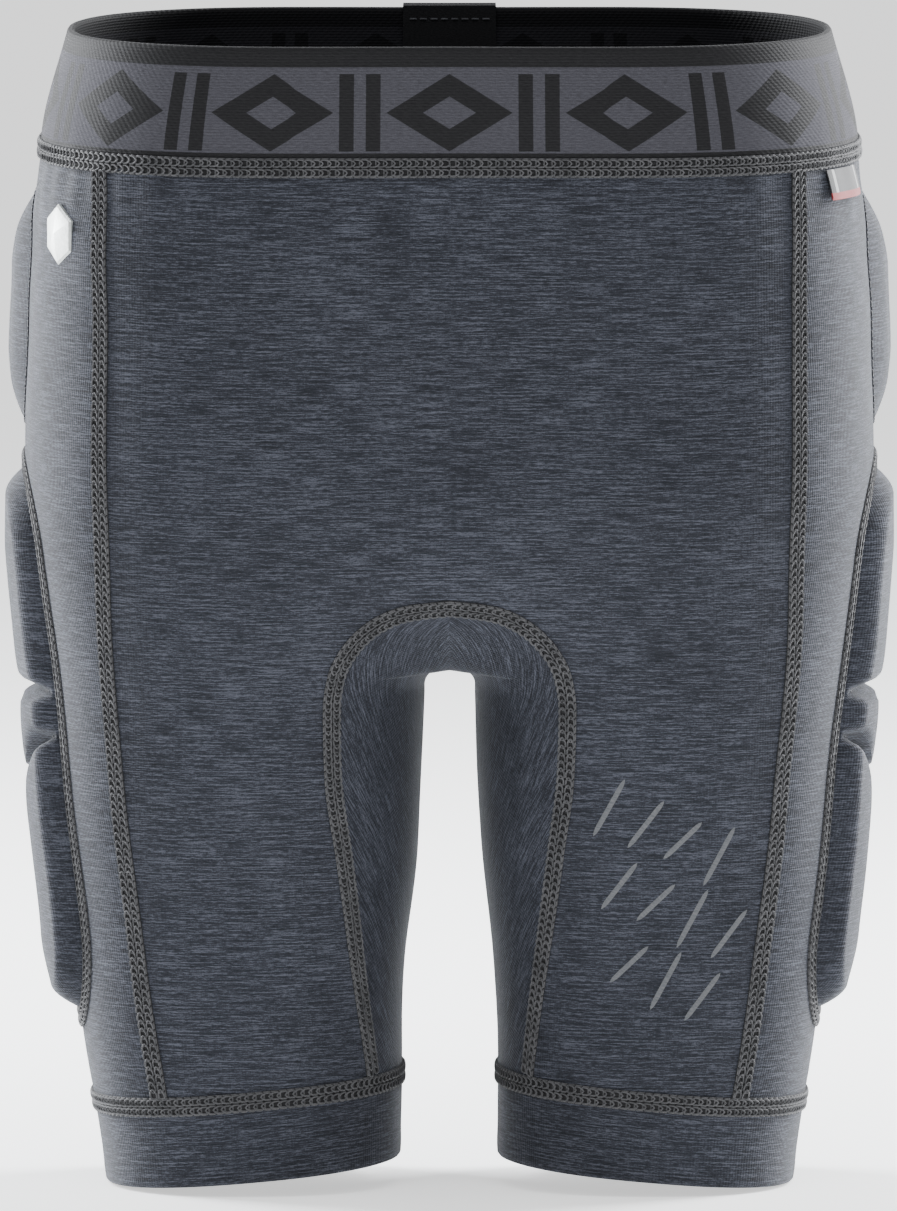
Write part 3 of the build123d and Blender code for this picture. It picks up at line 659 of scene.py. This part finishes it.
def gusset_leg(side, arch):
    """The inner leg, from seam to seam, up to the crotch."""
    rows, cols = 90, 111
    t, s = 1 - (1 - np.linspace(0, 1, rows)[:, None]) ** 2.4, np.linspace(0, 1, cols)[None, :]
    foot = hem_line(GUSSET_FOOT_X, CUFF)
    z = foot + t * (CROTCH - foot) + 0 * s
    for _ in range(3):
        edge = np.where(z > ARCH_SHOULDER, np.interp(z, arch[:, 1], arch[:, 0]), GUSSET_SEAM(z))
        start, end = angle_at(edge, z, True), angle_at(edge, z, False)
        angle = start + (end - TAU - start) * s
        x = np.abs(by_angle(angle, z, 0.0)[..., 0])
        z = hem_line(x, CUFF) + t * (CROTCH - 0.001 - hem_line(x, CUFF))
    outer, inner = by_angle(angle, z, 0.0, side), by_angle(angle, z, -FABRIC, side, lift=-FABRIC)
    u = row_lengths(outer)
    return slanted(outer, inner, np.minimum(u, u[:, -1:] - u), z, side)


def gusset_flap(side, arch, front):
    """Half of the flap that fills the arch in front or behind, above the crotch."""
    rows, cols = 40, 30
    t, s = np.linspace(0, 1, rows)[:, None] ** 2, np.linspace(0, 1, cols)[None, :]
    z = CROTCH + t * (ARCH_TOP - CROTCH) + 0 * s
    x = np.interp(z, arch[:, 1], arch[:, 0]) * (1 - s) ** 1.3
    outer, inner = by_x(side * x, z, 0.0, front), by_x(side * x, z, -FABRIC, front)
    return slanted(outer, inner, row_lengths(outer), z, side)


def gusset():
    """The gusset: inner legs, and a flap in front and behind."""
    parts = []
    arch = arch_points(600)
    for side in (1, -1):
        parts.append(gusset_leg(side, arch))
        parts.append(gusset_flap(side, arch, True))
        parts.append(gusset_flap(side, arch, False))
    make_mesh("gusset", join(parts), GUSSET_MATERIAL)


def waist_row(height, off, cols):
    """Points once round the waist: by X near the centre, where the halves round off, and else by angle."""
    z = np.full(1, float(height))
    start, end = angle_at(0 * z, z, True), angle_at(0 * z, z, False)
    angle = start + (end - start) * (np.linspace(-1, 1, cols // 2 + 1) + 1) / 2
    at = by_angle(angle, height, 0.0)
    x = np.abs(at[:, 0])
    central = np.where(at[:, 1:2] < 0, by_x(x, height, off, True), by_x(x, height, off, False))
    left = np.where(x[:, None] < CENTRAL_X, central, by_angle(angle, height, off))
    left[0, 0] = left[-1, 0] = 0.0
    right = left[::-1][1:-1] * np.array([-1, 1, 1])
    return np.r_[left, right]


def leg_row(height, off, side, cols):
    """Points once round one leg, at a height above the hem."""
    angle = np.linspace(0, TAU, cols, endpoint=False)
    z = np.full(cols, HEM + height)
    for _ in range(4):
        z = hem_line(by_angle(angle, z, 0.0)[:, 0], height)
    return by_angle(angle, z, off, side)


def ring_grid(profile, side, cols):
    """A row of points for each (height, offset): round one leg, or round the waist where side is None."""
    if side is None:
        return np.array([waist_row(height, off, cols) for height, off in profile])
    return np.array([leg_row(height, off, side, cols) for height, off in profile])


def closed_ring(name, outer_profile, inner_profile, side, cols, material):
    """A ring of elastic or folded fabric. Its section is one closed loop, and its weave starts at one cut."""
    loop = outer_profile + inner_profile
    grid = np.roll(ring_grid(loop, side, cols), -(cols // 2), 1)
    points = np.concatenate([grid, grid[:, :1]], 1)
    along = row_lengths(points[:1])
    heights = np.array([height for height, _ in loop])[:, None]
    inside = (np.arange(len(loop)) >= len(outer_profile))[:, None]
    weave = weave_grid(along - along[:, -1:] / 2, heights, inside)
    part = points.reshape(-1, 3), wrapped_faces(len(loop), cols + 1), weave
    make_mesh(name, part, material, sharp=70)


def waistband():
    """The elastic, slightly bulged outside, with a rounded top edge."""
    heights = np.linspace(WAIST_SEAM, -0.9, 22)
    outer = [(z, 0.18 * math.sin((z - WAIST_SEAM) / 35 * math.pi)) for z in heights]
    top = [(-0.25, -0.35), (0.0, -ELASTIC / 2), (-0.25, -ELASTIC + 0.35)]
    inner = [(z, -ELASTIC) for z in heights[::-1]]
    closed_ring("waistband", outer + top, inner, None, 420, ELASTIC_MATERIAL)


def cuff(side):
    """A folded cuff, fullest near its lower edge."""
    heights = np.linspace(0.8, CUFF, 14)
    outer = [(0.0, -0.9), (0.2, -0.25)] + [(h, 0.25 * math.exp(-(((h - 3) / 4) ** 2))) for h in heights]
    inner = [(h, -CUFF_THICK) for h in heights[::-1]] + [(0.2, -1.5)]
    closed_ring(name_of(side, "hem_cuff"), outer, inner, side, 190, CUFF_MATERIAL)


# --- Seams ---
def tips_of(at, along, up, out):
    """The points 1 mm outside a surface, from two directions along it and a point on its outer side."""
    normal = np.cross(along, up)
    outwards = np.sign((normal * (out - at)).sum(1))
    return at + normal * (outwards / np.linalg.norm(normal, axis=1))[:, None]


def raised(surface, a, z, reach=0.5):
    """Points of a surface, and the points 1 mm outside it along its true normals."""
    at = surface(a, z, 0.0)
    along = surface(a + reach, z, 0.0) - surface(a - reach, z, 0.0)
    up = surface(a, z + reach, 0.0) - surface(a, z - reach, 0.0)
    return at, tips_of(at, along, up, surface(a, z, 1.0))


def frames(centre, tips, closed):
    """Lengths along a seam, the points there, and their outward and sideways directions."""
    if closed:
        centre, tips = np.r_[centre, centre[:1]], np.r_[tips, tips[:1]]
    along = np.r_[0, np.cumsum(np.linalg.norm(np.diff(centre, axis=0), axis=1))]
    count = max(int(along[-1] / SEAM_STEP), 8)
    s = np.linspace(0, along[-1], count + 1)
    at = np.stack([np.interp(s, along, centre[:, k]) for k in range(3)], -1)
    normal = unit(np.stack([np.interp(s, along, (tips - centre)[:, k]) for k in range(3)], -1))
    tangent = np.gradient(at, axis=0)
    if closed:
        tangent[0] = tangent[-1] = at[1] - at[-2]
    return s, at, normal, unit(np.cross(normal, unit(tangent)))


def ribbon(line, profile):
    """A raised strip: profile is (sideways, height) pairs over the surface."""
    s, at, normal, across = line
    grid = np.stack([at + across * w + normal * h for w, h in profile], 1)
    rows, cols = grid.shape[:2]
    flip = np.dot(np.cross(grid[0, 1] - grid[0, 0], grid[1, 0] - grid[0, 0]), normal[0]) < 0
    # Mark 1: the thread material paints the bed near black, as painted shade between the loops above it.
    weave = weave_grid(s[:, None], np.array([w for w, _ in profile]), 1.0)
    return grid.reshape(-1, 3), grid_faces(rows, cols, flip=flip), weave


def tubes(paths, radius):
    """Closed tubes round many loops of the same number of points: paths is (count, points, 3)."""
    count, length = paths.shape[:2]
    tangent = np.roll(paths, -1, 1) - np.roll(paths, 1, 1)
    tangent /= np.linalg.norm(tangent, axis=2)[..., None] + 1e-9
    outward = paths - paths.mean(1, keepdims=True)
    outward -= (outward * tangent).sum(2)[..., None] * tangent
    outward /= np.linalg.norm(outward, axis=2)[..., None] + 1e-9
    upward = np.cross(tangent, outward)
    angle = (np.arange(TUBE_SIDES) * TAU / TUBE_SIDES)[:, None]
    ring = np.cos(angle) * outward[:, :, None] + np.sin(angle) * upward[:, :, None]
    points = paths[:, :, None] + radius * ring
    i, j = np.meshgrid(np.arange(length), np.arange(TUBE_SIDES), indexing="ij")
    here, there, beside = i * TUBE_SIDES, (i + 1) % length * TUBE_SIDES, (j + 1) % TUBE_SIDES
    quad = np.stack([here + j, there + j, there + beside, here + beside], -1).reshape(-1, 4)
    faces = (quad[None] + (np.arange(count) * length * TUBE_SIDES)[:, None, None]).reshape(-1, 4)
    return points.reshape(-1, 3), faces


def stitches(line, row, loop, pitch, radius, seed):
    """Loops of thread along a row of a seam: loop is (along, sideways, up) points, one loop in each pitch."""
    s, at, normal, across = line
    count = max(int(s[-1] / pitch), 1)
    rng = np.random.default_rng(seed)
    places = (np.arange(count) + 0.5) * s[-1] / count + rng.normal(0, 0.06, count)
    loop = np.array(loop)
    where = np.clip(places[:, None] + loop[None, :, 0], 0, s[-1])

    def sample(values):
        each = [np.interp(where.ravel(), s, values[:, k]) for k in range(3)]
        return np.stack(each, -1).reshape(*where.shape, 3)

    wide = loop[None, :, 1] * (1 + rng.normal(0, 0.05, (count, 1))) + row
    paths = sample(at) + sample(across) * wide[..., None] + sample(normal) * loop[None, :, 2][..., None]
    points, faces = tubes(paths, radius)
    return points, faces, weave_grid(where.reshape(-1, 1), np.arange(TUBE_SIDES) * 0.9 + row)


def oval(length, width, low, high, count=9):
    """A loop of thread that rises towards its front, so that each one lies on the next."""
    angle = np.arange(count) * TAU / count
    along, sideways = np.cos(angle), np.sin(angle)
    up = low + (high - low) * (0.5 + 0.5 * along)
    return np.stack([along * length / 2, sideways * width / 2 * (1 - 0.25 * along), up], -1)


def flatlock(name, line, seed):
    """A flatlock seam: two rows of interlocked loops and two edge rows, over a low bed of thread."""
    line = frames(*line)
    half = SEAM_WIDTH / 2
    bed = [(-half, -0.25), (-half + 0.35, 0.2), (-half + 1.2, 0.34), (-1.45, 0.3), (-0.5, 0.34), (0, 0.22)]
    bed += [(-w, h) for w, h in bed[-2::-1]]
    # The bed is painted near black through its mark: painted shade between the loops.
    parts = [ribbon(line, bed)]
    chain = oval(3.5, 2.2, 0.36, 0.82)
    for number, row in enumerate((-CHAIN_PLACE, CHAIN_PLACE)):
        parts.append(stitches(line, row, chain, PITCH, THREAD, seed + number))
    edge = [(-1.0, 0.0, 0.25), (-0.5, 0.05, 0.5), (0.5, 0.05, 0.5), (1.0, 0.0, 0.25), (0.0, 0.0, 0.1)]
    for number, row in enumerate((-half + 0.25, half - 0.25)):
        parts.append(stitches(line, row, edge, PITCH, EDGE_THREAD, seed + 3 + number))
    make_mesh(name, join(parts), SEAM_MATERIAL, sharp=60)


def topstitch(name, lines, seed, replaces=None):
    """One row of topstitching along each line: a dash of thread in every pitch."""
    dash = [(-1.15, 0, -0.05), (-0.8, 0, 0.32), (0, 0, 0.4), (0.8, 0, 0.32), (1.15, 0, -0.05), (0, 0, -0.1)]
    parts = []
    for k, line in enumerate(lines):
        parts.append(stitches(frames(*line), 0.0, dash, DASH_PITCH, DASH_THREAD, seed + k))
    make_mesh(name, join(parts), STITCH_MATERIAL, replaces, sharp=60)


def long_seam(side, front):
    """The line of a side seam, from the cuff to the waist."""
    z = np.linspace(hem_line(SEAM_FOOT_X, CUFF) + SEAM_GAP, WAIST_SEAM - SEAM_GAP, 160)
    return *raised(lambda a, b, off: by_x(side * a, b, off, front), SIDE_SEAM(z), z), False


def arch_seam(front):
    """The line of the gusset's seam, from one cuff over the arch to the other."""
    half = arch_points(160)
    half = half[half[:, 1] > hem_line(half[:, 0], CUFF) + SEAM_GAP]
    x, z = np.r_[half[:, 0], -half[::-1, 0][1:]], np.r_[half[:, 1], half[::-1, 1][1:]]
    return *raised(lambda a, b, off: by_x(a, b, off, front), x, z), False


def ring_seam(height, side):
    """The line of a seam round the waist or a leg."""
    profile = [(height - 1, 0.0), (height, 0.0), (height + 1, 0.0), (height, 1.0)]
    below, at, above, out = ring_grid(profile, side, 360)
    return at, tips_of(at, np.roll(at, -1, 0) - np.roll(at, 1, 0), above - below, out), True


# --- Pads ---
@dataclass
class Pad:
    """A pad's outline on its part of the body, as in the CAD, and the shape of its top, in mm."""

    view: str  # side or back
    low: float  # the outline's limits across the view
    high: float
    bottom: float  # and its heights
    top: float
    corner: float  # radius of its corners
    narrow: float  # share of the width lost towards the bottom
    rise: float  # height of the pad's middle over the panel
    crown: float  # part of the rise that is its crown
    edge: float  # width of the rounded edge

    def squeezed(self, across, z):
        """A place across the pad, drawn in towards its low edge as the pad narrows downwards."""
        return self.low + (across - self.low) * (1 - self.narrow * (self.top - z) / (self.top - self.bottom))

    def inside_by(self, across, z):
        """How far a point lies inside the outline."""
        u = np.abs(across - (self.high + self.low) / 2) - (self.high - self.low) / 2 + self.corner
        v = np.abs(z - (self.top + self.bottom) / 2) - (self.top - self.bottom) / 2 + self.corner
        return self.corner - np.hypot(np.maximum(u, 0), np.maximum(v, 0)) - np.minimum(np.maximum(u, v), 0)

    def place(self, across, z, off, side):
        """The point of the body there, moved out by off."""
        at = self.squeezed(across, z)
        return by_y(at, z, off, side) if self.view == "side" else by_x(at, z, off, False)

    def height(self, across, z):
        """The height of the pad's cover over the panel."""
        inside = self.inside_by(across, z)
        bevel = np.sin(np.clip(inside / self.edge, 0, 1) * math.pi / 2) ** 0.9
        crown = smooth(inside / CROWN_REACH)
        return COVER_FOOT + (self.rise - COVER_FOOT - self.crown) * bevel + self.crown * crown

    def outline(self, grow, count=200):
        """Evenly spaced points of the outline, moved outwards by grow."""
        corner = self.corner + grow
        wide, tall = (self.high - self.low) / 2 - self.corner, (self.top - self.bottom) / 2 - self.corner
        points = []
        for quarter, (sx, sz) in enumerate(((1, 1), (-1, 1), (-1, -1), (1, -1))):
            angle = math.pi / 2 * (quarter + np.linspace(0, 1, 16))
            across, up = sx * wide + corner * np.cos(angle), sz * tall + corner * np.sin(angle)
            points.append(np.stack([across, up], -1))
        ring = np.concatenate([*points, points[0][:1]])
        along = np.r_[0, np.cumsum(np.hypot(*np.diff(ring, axis=0).T))]
        s = np.linspace(0, along[-1], count, endpoint=False)
        across = np.interp(s, along, ring[:, 0]) + (self.high + self.low) / 2
        return across, np.interp(s, along, ring[:, 1]) + (self.top + self.bottom) / 2

    def ring(self, grow, side):
        across, z = self.outline(grow)
        return *raised(lambda a, b, off: self.place(a, b, off, side), across, z), True

    def grid(self, step):
        """A grid of places and heights that fills the outline, closer together at its edges."""
        z = self.bottom + (self.top - self.bottom) * gathered(int((self.top - self.bottom) / step), 0.35)
        depth = np.minimum(self.top - z, z - self.bottom)
        into = self.corner - np.sqrt(np.maximum(self.corner**2 - np.maximum(self.corner - depth, 0) ** 2, 0))
        s = gathered(int((self.high - self.low) / step), 0.4)
        across = (self.low + into)[:, None] + (self.high - self.low - 2 * into)[:, None] * s
        return across, z[:, None] + 0 * across


THIGH = Pad("side", -26, 56, -296, -134, 24, narrow=0.3, rise=10.0, crown=2.3, edge=7.5)
HIP = Pad("side", -8, 58, -120, -50, 22, narrow=0.0, rise=6.5, crown=2.5, edge=13.0)
TAIL = Pad("back", -38, 38, -142, -66, 20, narrow=0.0, rise=8.0, crown=2.5, edge=10.0)
GROOVES = ((-212.0, 16.0), (-199.0, 0.0))  # height at the ends, and drop at the middle


def groove_line(across, height, drop):
    """The height of a groove across the thigh pad, lower by drop at its middle."""
    middle, span = (THIGH.low + THIGH.high) / 2, (THIGH.high - THIGH.low) / 2
    return height - drop * (1 + np.cos(np.pi * (across - middle) / span)) / 2


def grooved(across, z, height):
    """The thigh pad's rows and heights: rows that follow the grooves, a thinner top, and the grooves."""
    height = height * (1 - 0.2 * smooth((z + 205) / 60))
    levels, drops = zip((THIGH.bottom, 0.0), *GROOVES, (THIGH.top, 0.0))
    z = groove_line(across, z, np.interp(z, levels, drops))
    for place, drop in GROOVES:
        away = np.abs(z - groove_line(across, place, drop))
        share = np.exp(-((away / 2.1) ** 2)) * 0.9 + 0.1 * np.exp(-((away / 7.0) ** 2))
        height = height * (1 - share) + np.minimum(height, GROOVE_FLOOR) * share
    return z, height


def pad_cover(name, pad, side, replaces):
    """A pad's cover, down to the panel, with faint folds."""
    across, z = pad.grid(0.9)
    height = pad.height(across, z)
    if pad is THIGH:
        z, height = grooved(across, z, height)
    fold = np.sin(across / 6.1 + 0.8 * np.sin(z / 13)) * np.sin(z / 7.7 + across / 21)
    height = height + 0.12 * fold * np.clip(pad.inside_by(across, z) / 10, 0, 1)
    outer, inner = pad.place(across, z, height, side), pad.place(across, z, 0.05, side)
    piece = make_mesh(name, sheet(outer, inner, 37 * side), COVER_MATERIAL, replaces)


def thigh_pads(side):
    """A thigh pad's cover, the seam round it and the stitching in its grooves."""
    hidden = [name_of(side, "thigh_pad_" + part) for part in ("upper", "middle", "lower", "cover")]
    pad_cover(name_of(side, "thigh_pad_cover"), THIGH, side, hidden)
    flatlock(name_of(side, "thigh_pad_seam"), THIGH.ring(SEAM_WIDTH / 2, side), 40 + side)
    lines = []
    for place, drop in GROOVES:
        across = np.linspace(THIGH.low + 3.5, THIGH.high - 3.5, 60)
        z = groove_line(across, place, drop)
        lines.append((THIGH.place(across, z, 1.5, side), THIGH.place(across, z, 2.5, side), False))
    topstitch(name_of(side, "thigh_groove_stitches"), lines, 60 + side)


def hip_pads(side):
    cover = name_of(side, "hip_pad_cover")
    pad_cover(cover, HIP, side, [name_of(side, "hip_pad"), cover])
    topstitch(name_of(side, "hip_pad_stitching"), [HIP.ring(0.9, side)], 70 + side)


def tail_pad():
    pad_cover("tail_pad_cover", TAIL, 1, ["tail_pad", "tail_pad_cover"])
    topstitch("tail_pad_stitching", [TAIL.ring(0.9, 1)], 80)


# --- Trim ---
def join_tab():
    """Black tape folded over the waistband at the centre back."""
    x = np.linspace(-14, 14, 29)
    inside = -ELASTIC
    loop = [(inside - 0.05, -34.0), (inside - 1.0, -33.8), (inside - 1.0, -20), (inside - 1.0, -2)]
    loop += [(inside - 0.8, 0.6), (inside / 2, 1.3), (0.8, 0.6), (1.0, -2), (1.0, -9), (1.0, -17.8)]
    loop += [(0.25, -18.0), (0.25, -9), (0.25, -1), (inside / 2, 0.35)]
    loop += [(inside - 0.05, -1), (inside - 0.05, -20)]
    grid = np.array([by_x(x, z, off, False) for off, z in loop])
    rows, cols = grid.shape[:2]
    ids = np.arange(rows * cols).reshape(rows, cols)
    caps = [ids[::-1, 0].tolist(), ids[:, -1].tolist()]
    part = grid.reshape(-1, 3), wrapped_faces(rows, cols).tolist() + caps, weave_grid(x, grid[..., 2])
    make_mesh("waistband_join_tab", part, TAPE_MATERIAL)


def tab_bartacks():
    """Two rows of black stitching that hold the tab, on the outside and the inside of the waistband."""
    x = np.linspace(-12.5, 12.5, 30)
    lines = []
    for z in (-15.0, -3.5):
        lines.append((by_x(x, z, 0.9, False), by_x(x, z, 1.9, False), False))
        lines.append((by_x(x, z, -ELASTIC - 0.9, False), by_x(x, z, -ELASTIC - 1.9, False), False))
    topstitch("tab_stitching", lines, 90, replaces=())


def box_of(node):
    """A CAD node's lowest and highest corners, in mm."""
    return [np.array(corner) * 1000 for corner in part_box(node)]


def badge():
    """A low six-sided badge with facets, moulded on to the wearer's right hip."""
    low, high = box_of("hip_badge")
    _, y, z = (low + high) / 2
    at = by_y(y, z, 0.0, -1)
    out = by_y(y, z, 1.0, -1) - at
    out /= np.linalg.norm(out)
    up = np.array([0, 0, 1.0])
    sideways = np.cross(up, out)
    points = []
    for radius, height in BADGE_RINGS:
        for k in range(6):
            angle = TAU * k / 6 + math.pi / 6
            u, v = radius * math.cos(angle), radius * math.sin(angle)
            points.append(at + sideways * u + up * v + out * (height - u * u / BADGE_BEND))
    faces = [[5 - k for k in range(6)], [6 * len(BADGE_RINGS) - 6 + k for k in range(6)]]
    for first in range(0, 6 * len(BADGE_RINGS) - 6, 6):
        for k in range(6):
            a, b = first + k, first + (k + 1) % 6
            faces.append([a, b, b + 6, a + 6])
    part = np.array(points), faces, np.array(points) - np.mean(points, 0)
    make_mesh("hip_badge", part, BADGE_MATERIAL, sharp=12)


def tag():
    """A woven tag, folded in half, that hangs from under the waist seam."""
    low, high = box_of("side_tag")
    y = np.linspace(low[1] + 0.5, high[1] - 0.5, 25)
    bow = np.sin((y - y[0]) / (y[-1] - y[0]) * math.pi)
    rows = []
    for off, share in TAG_FOLD:
        rows.append(by_y(y, high[2] - (high[2] - low[2]) * share, off + 0.25 * bow * share))
    grid = np.array(rows)
    count, cols = grid.shape[:2]
    caps = np.arange(count * cols).reshape(count, cols)[:, [0, -1]].T.tolist()
    faces = grid_faces(count, cols).tolist() + caps
    part = grid.reshape(-1, 3), faces, weave_grid(y - y.mean(), grid[..., 2])
    make_mesh("side_tag", part, TAG_MATERIAL, sharp=60)


def reflective_print():
    """Slanted strokes of reflective film on the front of the left thigh, as in the CAD, with pointed ends."""
    t = np.linspace(-1, 1, 25)
    half = 0.7 * (1 - t**8) + 0.05
    parts = []
    for k in range(11):
        line, place = divmod(k, 4)
        x, z = 48 + 11 * place + 3 * line, -230 - 24 * line - 5 * place
        slope, reach = math.radians(62 - 9 * (k % 3)), 10 - k % 3
        cos, sin = math.cos(slope), math.sin(slope)
        rows = []
        for sign in (-1, 0, 1):
            sx, sz = x + reach * t * cos - sign * half * sin, z + reach * t * sin + sign * half * cos
            rows.append(by_x(sx, sz, 0.16 if sign == 0 else 0.08))
        grid = np.array(rows)
        parts.append(slab(grid, grid + np.array([0, FILM_DEPTH, 0]), t * 10, grid[..., 2]))
    make_mesh("reflective_print", join(parts), PRINT_MATERIAL)


# --- Stage ---
def stage():
    """A plain pale floor just under the object, and an even pale sky."""
    size, floor_z = 10.0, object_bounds()[0].z - 0.0005
    mesh = bpy.data.meshes.new("floor")
    corners = [(x * size, y * size, floor_z) for x, y in ((-1, -1), (1, -1), (1, 1), (-1, 1))]
    mesh.from_pydata(corners, [], [(0, 1, 2, 3)])
    floor = new_object("floor", mesh)
    n = Nodes("floor")
    n.put((0.86, 0.87, 0.87), n.shader.inputs["Base Color"])
    n.put(0.95, n.shader.inputs["Roughness"])
    n.put((1, 1, 1), n.shader.inputs["Emission Color"])
    n.put(0.8, n.shader.inputs["Emission Strength"])
    mesh.materials.append(n.material)
    floor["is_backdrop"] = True
    world = bpy.data.worlds.new("world")
    bpy.context.scene.world = world
    world.use_nodes = True
    background = world.node_tree.nodes["Background"]
    background.inputs["Color"].default_value = (0.96, 0.97, 0.98, 1)
    background.inputs["Strength"].default_value = 0.78


def area_light(name, place, size, power, colour=(1, 1, 1)):
    """A rectangular light that faces the middle of the object."""
    light = bpy.data.lights.new(name, "AREA")
    light.shape = "RECTANGLE"
    light.size, light.size_y = size
    light.energy = power
    light.color = colour
    lamp = new_object(name, light)
    lamp.location = place
    lamp.rotation_euler = (Vector(LIGHT_TARGET) - Vector(place)).to_track_quat("-Z", "Y").to_euler()


def lights():
    """A tall soft light behind each side, and a weak one above the front."""
    area_light("side_left", (1.15, 0.75, 0.3), (0.6, 1.4), 95, (0.97, 0.98, 1.0))
    area_light("side_right", (-1.15, 0.75, 0.3), (0.6, 1.4), 95, (0.95, 0.97, 1.0))
    area_light("top", (0, -1.0, 1.5), (1.2, 0.8), 14)


def camera():
    """A distant camera in front, slightly above, whose view is VIEW_HEIGHT metres high at the object."""
    data = bpy.data.cameras.new("camera")
    data.sensor_fit = "VERTICAL"
    data.sensor_height = 24.0
    data.lens = data.sensor_height * CAMERA_DISTANCE / VIEW_HEIGHT
    eye = new_object("camera", data)
    target = Vector(CAMERA_TARGET)
    direction = Vector((0, -math.cos(CAMERA_RISE), math.sin(CAMERA_RISE)))
    eye.location = target + CAMERA_DISTANCE * direction
    eye.rotation_euler = (target - eye.location).to_track_quat("-Z", "Y").to_euler()
    bpy.context.scene.camera = eye


# --- Build ---
FABRIC_MATERIAL = melange("panel_fabric")
GUSSET_MATERIAL = melange("gusset_fabric", 11.0)
CUFF_MATERIAL = melange("cuff_fabric", 5.0)
COVER_MATERIAL = melange("cover_fabric", 17.0)
SEAM_MATERIAL = thread_material("seam_thread", (0.024, 0.0245, 0.027), (0.078, 0.078, 0.082))
STITCH_MATERIAL = thread_material("stitch_thread", (0.02, 0.021, 0.025), (0.06, 0.062, 0.07))
ELASTIC_MATERIAL = elastic_material()
TAPE_MATERIAL = tape_material()
BADGE_MATERIAL = film_material("badge_film", (0.4, 0.42, 0.41), (0.52, 0.54, 0.53), 0.6, 0.25)
PRINT_MATERIAL = film_material("reflective_film", (0.045, 0.048, 0.055), (0.09, 0.093, 0.1), 0.1, 0.5)
TAG_MATERIAL = tag_material()

front_or_back(True)
front_or_back(False)
gusset()
waistband()
join_tab()
tab_bartacks()
flatlock("waist_seam", ring_seam(WAIST_SEAM, None), 1)
flatlock("gusset_front_seam", arch_seam(True), 11)
flatlock("gusset_back_seam", arch_seam(False), 21)
for side in (1, -1):
    side_panel(side)
    cuff(side)
    flatlock(name_of(side, "front_seam"), long_seam(side, True), 30 + side)
    flatlock(name_of(side, "back_seam"), long_seam(side, False), 34 + side)
    flatlock(name_of(side, "hem_seam"), ring_seam(CUFF, side), 37 + side)
    thigh_pads(side)
    hip_pads(side)
tail_pad()
badge()
tag()
reflective_print()
stage()
lights()
camera()
